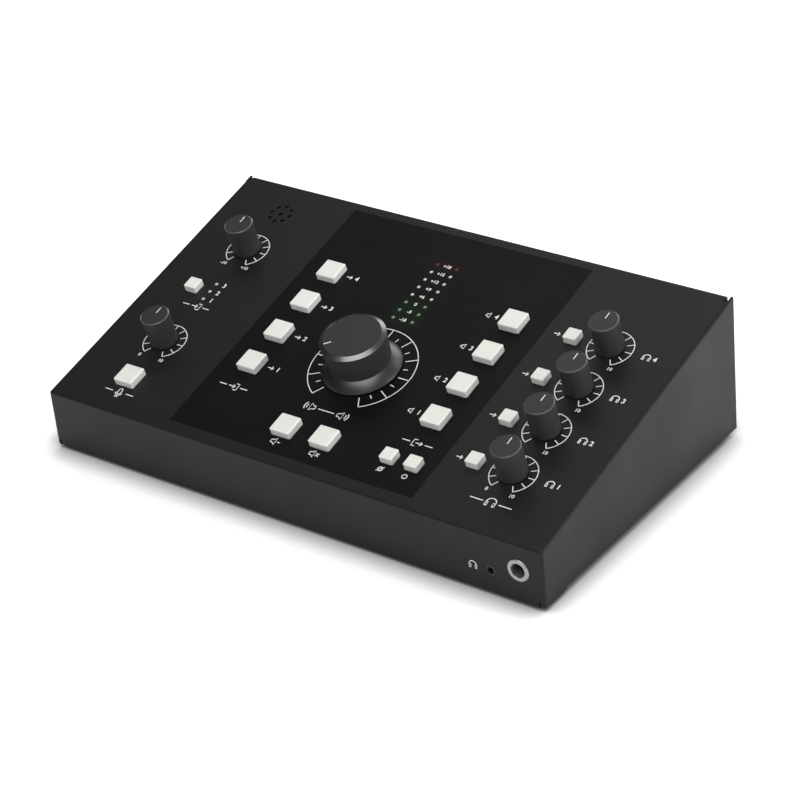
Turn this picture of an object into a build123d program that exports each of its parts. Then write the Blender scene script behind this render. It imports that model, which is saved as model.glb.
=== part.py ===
from build123d import *
from math import atan2, cos, degrees, sin, tan
import os

# Studio monitor controller: a folded sheet-steel desktop case with keys, dials, a level meter and sockets.
# Millimetres. X runs along the width, Y from the front face to the rear sockets, Z up from the desk.
# The origin is the middle of the footprint at desk level.

# ---------------------------------------------------------------- case
CASE_WIDTH = 280.0
CASE_DEPTH = 161.3
SHEET = 1.2                  # steel thickness of the cover and the tray
BEND = 1.6                   # outer radius of every fold
COVER_BASE = 1.5             # lower edge of the front face above the desk
FRONT_TOP = 31.1             # virtual edge between front face and sloping panel
REAR_TOP = 73.24             # virtual edge between sloping panel and rear flange
SIDE_BASE = 3.5              # lower edge of the side walls behind the corner tabs
CORNER_TAB = 16.8            # length of the deeper stretch of side wall at each front corner
LIP_DEPTH = 15.0             # return lip under the front face
LIP_BEND = 1.1
CORNER_LAND = 3.1            # width left outside the slit at each front corner
CORNER_SLIT = 0.8
CORNER_SLIT_HEIGHT = 3.4
FLANGE_DEPTH = 12.0          # rear flange that laps over the tray's rear panel
RELIEF_WIDTH = 1.8           # notch between rear flange and side wall
RELIEF_DEPTH = 4.5
EAR_HEIGHT = 8.0             # square ear of the side wall behind the notch
EAR_DROP = 0.6               # how far the ear stays under the panel's surface

SLOPE = atan2(REAR_TOP - FRONT_TOP, CASE_DEPTH)
HALF = CASE_WIDTH / 2
INNER_HALF = HALF - SHEET
FIT_GAP = 0.2                # slack between cover and tray

TRAY_HALF = INNER_HALF - FIT_GAP
TRAY_FRONT = SHEET + FIT_GAP
TRAY_FLOOR = COVER_BASE + SHEET                 # underside of the tray, resting on the front lip
TRAY_TOP = TRAY_FLOOR + SHEET
REAR_PANEL_FACE = CASE_DEPTH - SHEET - 0.1      # outer face of the tray's rear panel
REAR_PANEL_TOP = REAR_TOP - 2.2
SIDE_FLANGE = 9.0            # height of the tray's side flanges above its floor
SIDE_FLANGE_FOOT = 4.0
SIDE_FLANGE_SPAN = (CORNER_TAB + 2.0, REAR_PANEL_FACE - 6.0)
FLANGE_RELIEF = 1.5

FOOT_R = 7.5
FOOT_BEVEL = 0.6
FOOT_X = 118.0
FOOT_Y = (27.0, 140.0)

# ---------------------------------------------------------------- screws and boards
HEAD_R = 2.9
HEAD = 1.0
HEAD_BEVEL = 0.35
SHANK_R = 1.45
SOCKET_FLATS = 2.0
SOCKET_DEPTH = 0.6
CLEARANCE_R = 1.7
TAPPED_R = 1.5
BOARD_HOLE_R = 1.6
SPACER_FLATS = 5.0

# stack under the panel; heights are measured along the panel's normal, 0 on its painted face
BOARD_TOP = -10.5
BOARD = 1.6
BOARD_FLOOR = BOARD_TOP - BOARD
PANEL_BOARD_SIZE = (268.0, 144.0)
PANEL_BOARD_V = 80.0
BOARD_NOTCH = (26.0, 34.0)   # room for the front headphone socket
BOARD_NOTCH_PLACE = (130.0, 17.0)

RIBBON_WIDTH = 30.0
RIBBON = 0.9
RIBBON_BEND = 4.0
RIBBON_V = 92.0
RIBBON_Z = 26.0
RIBBON_CONNECTOR = (36.0, 5.0, 6.0)

# ---------------------------------------------------------------- controls
# x runs across the panel, v up its slope from the front edge
KEY_PITCH = 22.0
KEY_FRONT_ROW = 51.1
KEY_COLUMN = 52.6
DIM_ROW = 21.6
SMALL_KEY_ROW = 23.1
SMALL_KEY_X = (46.0, 59.2)
TALK_X = -105.3
TALK_KEY_V = 21.8
TALK_DIAL_V = 49.0
TRIM_DIAL_V = 117.7
TRIM_KEY = (-115.0, 85.8)
SOURCE_LAMP_V = (80.3, 85.8, 91.4)
PHONES_X = 103.9
PHONES_KEY_X = 84.4
PHONES_V = 35.1
PHONES_PITCH = 27.6
PHONES_KEY_OFFSET = -0.3
LEVEL_V = 67.6
METER_TOP_V = 139.9
METER_PITCH = 5.52
METER_COLUMN = 5.5
METER_ROWS = 8
LAMP_R = 1.0
MIC_V = 145.8
MIC_RING = 5.5
MIC_HOLES = 8
MIC_HOLE_R = 1.15
BOOT_R = 7.4
CAPSULE_R = 4.85
CAPSULE = 2.8
CAPSULE_FOOT = -5.0

# keys
BIG_CAP = 10.9
SMALL_CAP = 6.9
CAP_RISE = 3.45
CAP_SKIRT = -3.6
CAP_WALL = 0.8
CAP_ROOF = 1.4
CAP_CORNER = 0.7
CAP_BEVEL = 0.45
CAP_BOSS = 4.2
CAP_GAP = 0.3                # between cap and panel opening
STEM = 2.4
STEM_TOP = -0.8
STEM_FOOT = -7.6
STEM_COLLAR = 3.6            # collar that the switch's lid holds down
STEM_SLACK = 0.2
SWITCH = 7.4
SWITCH_TOP = -5.6
SWITCH_NECK = 4.6
SWITCH_STEP = 0.6
SWITCH_LID = 1.2
SWITCH_POCKET = -9.4

# dials
SHAFT_R = 3.0
SHAFT_RUNNING = 0.05
SHAFT_TOP = 13.0
SHAFT_FLAT = 1.6             # distance of the flat from the shaft's axis
FLAT_FROM = 5.0
SOCKET_EASE = 0.02           # between shaft and knob
BUSH_R = 3.5
BUSH_TOP = 2.6
NUT_FLATS = 9.0
NUT_HEIGHT = 1.6
POT_TOP = -3.9
POT_LID = 1.0
SMALL_POT = (9.6, 11.0)
LEVEL_POT_R = 8.5
ROTOR_R = 3.9
ROTOR_HEIGHT = 1.8
ROTOR_ROOM = 0.2

KNOB_FOOT = 0.5
NUT_ROOM = BUSH_TOP + 1.0
SMALL_KNOB_HEIGHT = 17.1
SMALL_KNOB_FOOT_R = 6.65
SMALL_KNOB_TOP_R = 7.05
SMALL_KNOB_BEVEL = 0.45
SMALL_KNOB_HOLLOW_R = 5.55
LEVEL_KNOB_HEIGHT = 20.0
LEVEL_FACE_R = 13.8
LEVEL_BODY_R = 15.85
LEVEL_BEVEL = 1.3
LEVEL_WAIST_R = 14.8
LEVEL_WAIST = 5.1
LEVEL_SKIRT_R = 19.2
LEVEL_SKIRT = 1.0
FLARE_HOLLOW = 0.3           # how far the skirt's flank bends inwards between its two edges
LEVEL_HOLLOW_R = 13.2
LEVEL_REST = -133.0          # degrees clockwise from straight back, where the level knob points at rest
GROOVE = 0.9
GROOVE_DEPTH = 0.25

# ---------------------------------------------------------------- sockets
# each is drawn with its axis on +Z and the panel's outer face at 0
JACK_BORE_R = 3.25
JACK_NOSE_R = 4.45
JACK_NOSE = 1.4
JACK_NUT_R = 5.5
JACK_NUT = 2.2
FRONT_NOSE = -0.3            # the front socket's nose ends behind the panel face
FRONT_RING = 0.4             # and its trim ring fills the panel hole, just proud of it
JACK_LIP_R = 3.55
JACK_BODY = (15.0, 17.0)
JACK_BORE_END = -20.0
SOCKET_BACK = -22.4          # where every rear socket meets its board
FRONT_JACK = (127.3, 17.9)
JACK_X = [-120.0 + 20.0 * column for column in range(9)]
JACK_Z = (20.0, 43.0)
NOSE_EASE = 0.15             # between a round nose and its panel hole

MINI_JACK = (112.6, 12.7)
MINI_NOSE_R = 2.5
MINI_NOSE = -0.15
MINI_BORE_R = 1.8
MINI_BORE_END = -13.0
MINI_BODY = (7.0, 13.0)

PHONO_PLACES = ((62.0, 20.0), (62.0, 43.0), (82.0, 20.0))
PHONO_R = 4.15
PHONO_REACH = 9.4
PHONO_WALL = 0.5
PHONO_PIN_R = 1.65
PHONO_BODY = (11.0, 12.0)
PHONO_FLANGE_R = 4.9
PHONO_FLANGE = 0.8

OPTICAL_PLACE = (82.0, 43.0)
OPTICAL_BODY = (9.8, 10.4)
OPTICAL_FACE = 1.2
OPTICAL_MOUTH = 6.4
OPTICAL_DEPTH = -8.5
OPTICAL_CORNER = 1.2

POWER_PLACE = (104.0, 20.0)
POWER_R = 3.1
POWER_FLANGE_R = 4.1
POWER_FLANGE = 0.5
POWER_PIN_R = 1.0
POWER_DEPTH = -10.5
POWER_BODY = (9.0, 11.0)

SWITCH_PLACE = (122.0, 31.5)
ROCKER_OPENING = (12.8, 18.8)
ROCKER_WELL = (10.6, 16.0)
ROCKER_WIDTH = 10.3
ROCKER_HALF_LENGTH = 7.3
ROCKER_TILT = 8.0
BEZEL = (15.0, 21.0)
BEZEL_HEIGHT = 1.6
PIVOT_HEIGHT = -1.5          # rocker's axis behind the panel face
PIVOT_R = 1.0

OVERALL_FRONT = -FRONT_RING
OVERALL_REAR = REAR_PANEL_FACE + PHONO_REACH
FRONT_Y = -(OVERALL_FRONT + OVERALL_REAR) / 2   # puts the footprint's middle on the origin

# ---------------------------------------------------------------- frames and simple shapes
PANEL = Plane(origin=(0, 0, FRONT_TOP), x_dir=(1, 0, 0), z_dir=(0, -sin(SLOPE), cos(SLOPE)))
FRONT = Plane(origin=(0, 0, 0), x_dir=(1, 0, 0), z_dir=(0, -1, 0))
REAR = Plane(origin=(0, REAR_PANEL_FACE, 0), x_dir=(-1, 0, 0), z_dir=(0, 1, 0))
LOW = (Align.CENTER, Align.CENTER, Align.MIN)
CORNER = (Align.MIN, Align.MIN, Align.MIN)


def on_panel(x, v, shape):
    """Stand a shape drawn about +Z on the sloping panel."""
    return PANEL.location * Pos(x, v, 0) * shape


def on_front(x, z, shape):
    return FRONT.location * Pos(x, z, 0) * shape


def on_rear(x, z, shape):
    return REAR.location * Pos(-x, z, 0) * shape


def rod(radius, low, high):
    return Pos(0, 0, low) * Cylinder(radius, high - low, align=LOW)


def block(width, length, low, high):
    return Pos(0, 0, low) * Box(width, length, high - low, align=LOW)


def slab(x, y, z):
    """A box from three (low, high) pairs in the case frame."""
    size = [high - low for low, high in (x, y, z)]
    return Pos(x[0], y[0], z[0]) * Box(*size, align=CORNER)


def hexagon(flats, low, high):
    return Pos(0, 0, low) * extrude(RegularPolygon(flats / 2, 6, major_radius=False), high - low)


def rounded_block(width, radius, low, high):
    return Pos(0, 0, low) * extrude(RectangleRounded(width, width, radius), high - low)


def spin(*points):
    """A solid of revolution about Z from (r, z) points."""
    return revolve(make_face(Plane.XZ * Polyline(*points, close=True)), Axis.Z)


def bent_sheet(*centre_line):
    """Section of a folded sheet along its centre line, with its bends rounded."""
    return trace(FilletPolyline(*centre_line, radius=BEND - SHEET / 2), SHEET)


def save(name, *solids):
    """Write one node, moved from the case frame to the part's own frame."""
    shape = solids[0] if len(solids) == 1 else Compound(children=list(solids))
    export_step(Pos(0, FRONT_Y, 0) * shape, f"parts/{name}.step")


# ---------------------------------------------------------------- layout
def key_layout():
    """Name, x, v and cap width of each key."""
    keys = []
    for i in range(4):
        row = KEY_FRONT_ROW + i * KEY_PITCH
        phones_row = PHONES_V + PHONES_KEY_OFFSET + i * PHONES_PITCH
        keys.append((f"input_{i + 1}_button", -KEY_COLUMN, row, BIG_CAP))
        keys.append((f"output_{i + 1}_button", KEY_COLUMN, row, BIG_CAP))
        keys.append((f"headphone_{i + 1}_source_button", PHONES_KEY_X, phones_row, SMALL_CAP))
    return keys + [
        ("dim_button", -KEY_PITCH / 2, DIM_ROW, BIG_CAP),
        ("cut_button", KEY_PITCH / 2, DIM_ROW, BIG_CAP),
        ("talkback_button", TALK_X, TALK_KEY_V, BIG_CAP),
        ("trim_source_button", *TRIM_KEY, SMALL_CAP),
        ("polarity_button", SMALL_KEY_X[0], SMALL_KEY_ROW, SMALL_CAP),
        ("mono_button", SMALL_KEY_X[1], SMALL_KEY_ROW, SMALL_CAP),
    ]


def dial_layout():
    """Name, x and v of each small dial."""
    dials = [(f"headphone_{i + 1}", PHONES_X, PHONES_V + i * PHONES_PITCH) for i in range(4)]
    return dials + [("talkback", TALK_X, TALK_DIAL_V), ("trim", TALK_X, TRIM_DIAL_V)]


def meter_places(rows):
    return [(x, METER_TOP_V - row * METER_PITCH) for row in rows for x in (-METER_COLUMN, METER_COLUMN)]


def mirrored(*places):
    """Each (x, other) place and its mirror image across the middle of the case."""
    return [(side * x, other) for x, other in places for side in (-1, 1)]


KEYS = key_layout()
DIALS = dial_layout()
LEVEL_DIAL = ("level", 0.0, LEVEL_V)
SOURCE_LAMPS = [(TALK_X, v) for v in SOURCE_LAMP_V]
REAR_JACKS = [(x, z) for z in JACK_Z for x in JACK_X]
BOARD_POSTS = mirrored((78, 12), (30, 110), (126, 145)) + [(-126, 12), (-126, 70), (126, 80)]
PHONES_POSTS = [(108.0, 28.0), (132.5, 28.0)]
LIP_SCREWS = [(x, 8.0) for x in (-125.0, -42.0, 42.0, 100.0)]
FLANGE_SCREWS = mirrored((42.0, REAR_TOP - 6.8), (125.0, REAR_TOP - 6.8))


# ---------------------------------------------------------------- case
def wedge(inset):
    """The case's solid outline, its front, top, rear and sides pulled in by inset."""
    rise = tan(SLOPE)
    drop = inset / cos(SLOPE)
    front, rear = inset, CASE_DEPTH - inset
    outline = Polyline(
        (front, COVER_BASE),
        (front, FRONT_TOP + front * rise - drop),
        (rear, FRONT_TOP + rear * rise - drop),
        (rear, COVER_BASE),
        close=True,
    )
    return extrude(Plane.YZ * make_face(outline), HALF - inset, both=True)


def folded(shape, radius):
    """Round the front, top and rear folds of a wedge; its lower and rear upright edges stay square."""
    edges = [e for e in shape.edges() if e.center().Z > COVER_BASE + 1]
    rear_uprights = [e for e in edges if abs(e.tangent_at(0.5).Z) > 0.9 and e.center().Y > CASE_DEPTH / 2]
    return fillet([e for e in edges if e not in rear_uprights], radius)


def panel_openings():
    """Everything that is punched through the sloping panel, reaching well past both faces."""
    low, high = -SHEET - 1, 1
    cuts = [
        on_panel(x, v, rounded_block(cap + 2 * CAP_GAP, CAP_CORNER + CAP_GAP, low, high))
        for _, x, v, cap in KEYS
    ]
    cuts += [on_panel(x, v, rod(BUSH_R + 0.1, low, high)) for _, x, v in DIALS + [LEVEL_DIAL]]
    lamps = meter_places(range(METER_ROWS)) + SOURCE_LAMPS
    cuts += [on_panel(x, v, rod(LAMP_R + 0.05, low, high)) for x, v in lamps]
    ring = PolarLocations(MIC_RING, MIC_HOLES)
    cuts += [on_panel(TALK_X, MIC_V, place * rod(MIC_HOLE_R, low, high)) for place in [*ring, Pos()]]
    return cuts


def corner_cuts(side):
    """Slit, raised side wall and rear relief of one side, as tools to take off the cover."""
    slit = sorted((side * (HALF - CORNER_LAND), side * (HALF - CORNER_LAND + CORNER_SLIT)))
    wall = sorted((side * (INNER_HALF - 1), side * (HALF + 1)))
    notch = sorted((side * (INNER_HALF - RELIEF_WIDTH), side * INNER_HALF))
    corner = sorted((side * INNER_HALF, side * (HALF + 1)))
    behind = (CASE_DEPTH - RELIEF_DEPTH, CASE_DEPTH + 1)
    return [
        slab(slit, (-1, SHEET + 1), (0, COVER_BASE + CORNER_SLIT_HEIGHT)),
        slab(wall, (CORNER_TAB, CASE_DEPTH + 1), (0, SIDE_BASE)),
        slab(notch, behind, (REAR_TOP - FLANGE_DEPTH - 1, REAR_TOP + 1)),
        slab(corner, behind, (REAR_TOP - EAR_HEIGHT, REAR_TOP + 1)),
    ]


def corner_ear(side):
    """Flat corner of a side wall that stands beside the notch, with square edges."""
    across = sorted((side * INNER_HALF, side * HALF))
    along, up = (CASE_DEPTH - RELIEF_DEPTH, CASE_DEPTH), (REAR_TOP - EAR_HEIGHT, REAR_TOP)
    return Pos(0, 0, -EAR_DROP) * wedge(0) & slab(across, along, up)


def top_cover():
    """Front face with its return lip, sloping panel, rear flange and side walls, all of one sheet."""
    cover = folded(wedge(0), BEND) - folded(wedge(SHEET), BEND - SHEET)
    open_rear = (CASE_DEPTH - 2 * SHEET, CASE_DEPTH + 1)
    cover -= slab((-INNER_HALF, INNER_HALF), open_rear, (0, REAR_TOP - FLANGE_DEPTH))

    lip_half = HALF - CORNER_LAND
    cover += slab((-lip_half, lip_half), (0, LIP_DEPTH), (COVER_BASE, TRAY_FLOOR))
    base_edges = cover.edges().filter_by(Axis.X).group_by(Axis.Z)[0]
    cover = fillet(base_edges.sort_by(Axis.Y)[0], LIP_BEND)

    for side in (-1, 1):
        cover -= corner_cuts(side)
        cover += corner_ear(side)

    cuts = panel_openings()
    cuts.append(on_front(*FRONT_JACK, rod(JACK_NUT_R + NOSE_EASE, -SHEET - 1, 1)))
    cuts.append(on_front(*MINI_JACK, rod(MINI_NOSE_R + NOSE_EASE, -SHEET - 1, 1)))
    cuts += [Pos(x, y, 0) * rod(CLEARANCE_R, 0, TRAY_FLOOR + 1) for x, y in LIP_SCREWS]
    cuts += [screw_hole(x, z, CLEARANCE_R) for x, z in FLANGE_SCREWS]
    return cover - cuts


def screw_hole(x, z, radius):
    """Hole through the rear flange and the panel behind it."""
    return Pos(x, CASE_DEPTH - SHEET, z) * Rot(90, 0, 0) * Cylinder(radius, 4 * SHEET)


def rear_cutouts():
    """Openings in the tray's rear panel, one for each socket and the power switch."""
    low, high = -SHEET - 1, 1
    cuts = [on_rear(x, z, rod(JACK_NOSE_R + NOSE_EASE, low, high)) for x, z in REAR_JACKS]
    cuts += [on_rear(x, z, rod(PHONO_FLANGE_R + NOSE_EASE, low, high)) for x, z in PHONO_PLACES]
    cuts.append(on_rear(*POWER_PLACE, rod(POWER_FLANGE_R + NOSE_EASE, low, high)))
    for place, size in ((OPTICAL_PLACE, OPTICAL_BODY), (SWITCH_PLACE, ROCKER_OPENING)):
        cuts.append(on_rear(*place, block(*[side + 2 * NOSE_EASE for side in size], low, high)))
    return cuts


def side_flange(side):
    """Low upright flange folded up from one side of the tray's floor."""
    foot, wall = side * (TRAY_HALF - SIDE_FLANGE_FOOT), side * (TRAY_HALF - SHEET / 2)
    level = TRAY_FLOOR + SHEET / 2
    section = bent_sheet((foot, level), (wall, level), (wall, TRAY_TOP + SIDE_FLANGE))
    near, far = SIDE_FLANGE_SPAN
    return Pos(0, far, 0) * extrude(Plane.XZ * section, far - near)


def base_tray():
    """Floor and rear panel folded from one sheet, with two low side flanges between relief gaps."""
    level, rear = TRAY_FLOOR + SHEET / 2, REAR_PANEL_FACE - SHEET / 2
    section = bent_sheet((TRAY_FRONT, level), (rear, level), (rear, REAR_PANEL_TOP))
    tray = extrude(Plane.YZ * section, TRAY_HALF, both=True)

    near, far = SIDE_FLANGE_SPAN
    for side in (-1, 1):
        edge = sorted((side * (TRAY_HALF - SIDE_FLANGE_FOOT), side * (TRAY_HALF + 1)))
        tray -= slab(edge, (near - FLANGE_RELIEF, far + FLANGE_RELIEF), (0, TRAY_TOP + 1))
        tray += side_flange(side)

    cuts = rear_cutouts()
    cuts += [Pos(x, y, 0) * rod(TAPPED_R, TRAY_FLOOR - 1, TRAY_TOP + 1) for x, y in LIP_SCREWS + PHONES_POSTS]
    cuts += [screw_hole(x, z, TAPPED_R) for x, z in FLANGE_SCREWS]
    return tray - cuts


def rubber_feet():
    foot = rod(FOOT_R, 0, TRAY_FLOOR)
    foot = chamfer(foot.edges().sort_by(Axis.Z)[0], FOOT_BEVEL)
    return [Pos(x, y, 0) * foot for y in FOOT_Y for x in (-FOOT_X, FOOT_X)]


def screw(length):
    """Thin-headed machine screw: the underside of its head is at 0, its shank runs up to length."""
    head = chamfer(rod(HEAD_R, -HEAD, 0).edges().sort_by(Axis.Z)[0], HEAD_BEVEL)
    return head + rod(SHANK_R, 0, length) - hexagon(SOCKET_FLATS, -HEAD - 1, SOCKET_DEPTH - HEAD)


def case_screws():
    upward = [Pos(x, y, COVER_BASE) * screw(6.0) for x, y in LIP_SCREWS]
    forward = [Pos(x, CASE_DEPTH, z) * Rot(90, 0, 0) * screw(6.0) for x, z in FLANGE_SCREWS]
    return upward + forward


# ---------------------------------------------------------------- boards
PHONES_BOARD_TOP = FRONT_JACK[1] - JACK_BODY[1] / 2
PHONES_BOARD_FLOOR = PHONES_BOARD_TOP - BOARD
REAR_BOARD_REAR = REAR_PANEL_FACE + SOCKET_BACK
REAR_BOARD_FRONT = REAR_BOARD_REAR - BOARD


def panel_board():
    """Board under the sloping panel, cut away around the front headphone socket."""
    low, high = BOARD_FLOOR - 1, BOARD_TOP + 1
    board = on_panel(0, PANEL_BOARD_V, block(*PANEL_BOARD_SIZE, BOARD_FLOOR, BOARD_TOP))
    board -= on_panel(*BOARD_NOTCH_PLACE, block(*BOARD_NOTCH, low, high))
    return board - [on_panel(x, v, rod(BOARD_HOLE_R, low, high)) for x, v in BOARD_POSTS]


def rear_board():
    return slab((-132, 134), (REAR_BOARD_FRONT, REAR_BOARD_REAR), (9, 52))


def phones_board():
    board = slab((104.5, 136.5), (2, 32), (PHONES_BOARD_FLOOR, PHONES_BOARD_TOP))
    return board - [Pos(x, y, 0) * rod(BOARD_HOLE_R, 0, PHONES_BOARD_TOP + 1) for x, y in PHONES_POSTS]


def spacer(low, high):
    return hexagon(SPACER_FLATS, low, high) - rod(TAPPED_R, low - 1, high + 1)


def board_spacers():
    """Hexagonal spacers: long ones under the panel, short ones on the tray's floor."""
    hanging = [on_panel(x, v, spacer(BOARD_TOP, -SHEET)) for x, v in BOARD_POSTS]
    return hanging + [Pos(x, y, 0) * spacer(TRAY_TOP, PHONES_BOARD_FLOOR) for x, y in PHONES_POSTS]


def board_screws():
    hanging = [on_panel(x, v, Pos(0, 0, BOARD_FLOOR) * screw(7.0)) for x, v in BOARD_POSTS]
    return hanging + [Pos(x, y, PHONES_BOARD_TOP) * Rot(180, 0, 0) * screw(5.0) for x, y in PHONES_POSTS]


def ribbon_cable():
    """Flat cable from the panel board down and back to the rear board, a crimped connector at each end."""
    width, thickness, height = RIBBON_CONNECTOR
    panel_end = on_panel(0, RIBBON_V, block(width, thickness, BOARD_FLOOR - height, BOARD_FLOOR))
    rear_end = Pos(0, REAR_BOARD_FRONT - height / 2, RIBBON_Z) * Box(width, height, thickness)
    top, away = [
        (PANEL.location * Pos(0, RIBBON_V, BOARD_FLOOR - height - drop)).position for drop in (0, 10)
    ]
    route = FilletPolyline(
        (top.Y, top.Z), (away.Y, away.Z), (away.Y + 8, RIBBON_Z), (REAR_BOARD_FRONT - height, RIBBON_Z),
        radius=RIBBON_BEND,
    )
    strip = extrude(Plane.YZ * trace(route, RIBBON), RIBBON_WIDTH / 2, both=True)
    return [panel_end, strip, rear_end]


# ---------------------------------------------------------------- keys
def key_cap(width):
    """Hollow moulded cap: rounded corners, softened top edge and a boss that sits on the switch's stem."""
    cap = rounded_block(width, CAP_CORNER, CAP_SKIRT, CAP_RISE)
    cap = chamfer(cap.edges().group_by(Axis.Z)[-1], CAP_BEVEL)
    inside = width - 2 * CAP_WALL
    cap -= block(inside, inside, CAP_SKIRT - 1, CAP_RISE - CAP_ROOF)
    cap += block(CAP_BOSS, CAP_BOSS, CAP_SKIRT, CAP_RISE - CAP_ROOF)
    return cap - block(STEM, STEM, CAP_SKIRT - 1, STEM_TOP)


def switch_stem():
    """Square stem whose collar rests against the underside of the switch's lid."""
    lid = SWITCH_TOP - SWITCH_LID
    return block(STEM, STEM, STEM_FOOT, STEM_TOP) + block(STEM_COLLAR, STEM_COLLAR, STEM_FOOT, lid)


def key_switch():
    """Switch body on the board: neck and lid round the stem, and the pocket that its collar slides in."""
    body = block(SWITCH, SWITCH, BOARD_TOP, SWITCH_TOP - SWITCH_STEP)
    body += block(SWITCH_NECK, SWITCH_NECK, SWITCH_TOP - SWITCH_STEP, SWITCH_TOP)
    hole, pocket = STEM + 2 * STEM_SLACK, STEM_COLLAR + 2 * STEM_SLACK
    body -= block(hole, hole, SWITCH_POCKET, SWITCH_TOP + 1)
    return body - block(pocket, pocket, SWITCH_POCKET, SWITCH_TOP - SWITCH_LID)


# ---------------------------------------------------------------- dials
def potentiometer(body):
    """Body on the board, with its bush through the panel and the hollow that the rotor turns in."""
    roof = POT_TOP - POT_LID
    floor = roof - ROTOR_HEIGHT - 2 * ROTOR_ROOM
    pot = body + rod(BUSH_R, POT_TOP, BUSH_TOP) - rod(ROTOR_R + ROTOR_ROOM, floor, roof)
    return pot - rod(SHAFT_R + SHAFT_RUNNING, floor, BUSH_TOP + 1)


def flat_side(distance):
    """Everything beyond the shaft's flat, from where the flat begins."""
    reach = 2 * BUSH_TOP + SHAFT_TOP
    return Pos(0, distance, FLAT_FROM) * Box(reach, reach, reach, align=(Align.CENTER, Align.MIN, Align.MIN))


def pot_shaft():
    """Turning shaft with its rotor disc and the flat that drives the knob."""
    rotor_top = POT_TOP - POT_LID - ROTOR_ROOM
    shaft = rod(ROTOR_R, rotor_top - ROTOR_HEIGHT, rotor_top) + rod(SHAFT_R, rotor_top, SHAFT_TOP)
    shaft -= flat_side(SHAFT_FLAT)
    return chamfer(shaft.edges().group_by(Axis.Z)[-1], 0.3)


def knob_socket():
    """D-shaped hole that a knob is pushed onto the shaft with."""
    return rod(SHAFT_R + SOCKET_EASE, 0, SHAFT_TOP) - flat_side(SHAFT_FLAT + SOCKET_EASE)


def pointer_groove(inner, outer, top):
    """Shallow straight groove that marks where a knob points."""
    return Pos(0, (inner + outer) / 2, 0) * block(GROOVE, outer - inner, top - GROOVE_DEPTH, top + 1)


def small_knob():
    """Slightly flared knob with a bevelled edge, hollow round the nut."""
    shell = spin(
        (0, KNOB_FOOT),
        (SMALL_KNOB_FOOT_R, KNOB_FOOT),
        (SMALL_KNOB_TOP_R, SMALL_KNOB_HEIGHT - SMALL_KNOB_BEVEL),
        (SMALL_KNOB_TOP_R - SMALL_KNOB_BEVEL, SMALL_KNOB_HEIGHT),
        (0, SMALL_KNOB_HEIGHT),
    )
    shell -= rod(SMALL_KNOB_HOLLOW_R, 0, NUT_ROOM)
    return shell - knob_socket() - pointer_groove(1.3, 5.4, SMALL_KNOB_HEIGHT)


def level_knob():
    """Large knob: bevelled face, body that narrows to a crisp waist, and a skirt that flares out from it."""
    side = Line((LEVEL_BODY_R, LEVEL_KNOB_HEIGHT - LEVEL_BEVEL), (LEVEL_WAIST_R, LEVEL_WAIST))
    flare = SagittaArc(side @ 1, (LEVEL_SKIRT_R, LEVEL_SKIRT), FLARE_HOLLOW)
    rest = Polyline(
        flare @ 1,
        (LEVEL_SKIRT_R, KNOB_FOOT),
        (0, KNOB_FOOT),
        (0, LEVEL_KNOB_HEIGHT),
        (LEVEL_FACE_R, LEVEL_KNOB_HEIGHT),
        side @ 0,
    )
    knob = revolve(Plane.XZ * make_face([side, flare, *rest.edges()]), Axis.Z)
    knob -= rod(LEVEL_HOLLOW_R, 0, NUT_ROOM)
    return knob - knob_socket() - pointer_groove(9.8, 13.6, LEVEL_KNOB_HEIGHT)


def pot_nut():
    return hexagon(NUT_FLATS, 0, NUT_HEIGHT) - rod(BUSH_R, -1, NUT_HEIGHT + 1)


# ---------------------------------------------------------------- lamps and microphone
def lamp():
    """Two-millimetre lamp on the board, its bevelled nose filling its hole in the panel."""
    shoulder, tip = -4.0, 0.12
    return spin(
        (0, BOARD_TOP),
        (1.5 * LAMP_R, BOARD_TOP),
        (1.5 * LAMP_R, shoulder),
        (LAMP_R, shoulder),
        (LAMP_R, tip - 0.2),
        (LAMP_R - 0.3, tip),
        (0, tip),
    )


def talkback_mic():
    """Electret capsule seated in its rubber boot, close under the ring of holes."""
    boot = rod(BOOT_R, BOARD_TOP, -SHEET) - rod(CAPSULE_R, CAPSULE_FOOT, 0)
    capsule = rod(CAPSULE_R, CAPSULE_FOOT, CAPSULE_FOOT + CAPSULE)
    return [boot, chamfer(capsule.edges().group_by(Axis.Z)[-1], 0.3)]


# ---------------------------------------------------------------- sockets
def phone_jack(nose):
    """Board-mounted 6.35 mm socket: boxed body, round nose into the panel, blind bore."""
    body = block(*JACK_BODY, SOCKET_BACK, -SHEET)
    body = chamfer(body.edges().filter_by(Axis.Z), 0.6)
    return body + rod(JACK_NOSE_R, -SHEET, nose) - rod(JACK_BORE_R, JACK_BORE_END, nose + 1)


def jack_ring(foot, nose, face):
    """Round ring, from its foot to its face, whose front lip covers the end of the nose."""
    bevel, inner = 0.3, JACK_NOSE_R + 0.05
    return spin(
        (inner, foot),
        (JACK_NUT_R, foot),
        (JACK_NUT_R, face - bevel),
        (JACK_NUT_R - bevel, face),
        (JACK_LIP_R, face),
        (JACK_LIP_R, nose),
        (inner, nose),
    )


def mini_jack():
    """3.5 mm socket on the phones board, its nose just behind the front face."""
    height = MINI_JACK[1] - PHONES_BOARD_TOP
    width, depth = MINI_BODY
    body = Pos(0, -height, -SHEET) * Box(width, 2 * height, depth, align=(Align.CENTER, Align.MIN, Align.MAX))
    return body + rod(MINI_NOSE_R, -SHEET, MINI_NOSE) - rod(MINI_BORE_R, MINI_BORE_END, 1)


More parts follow.
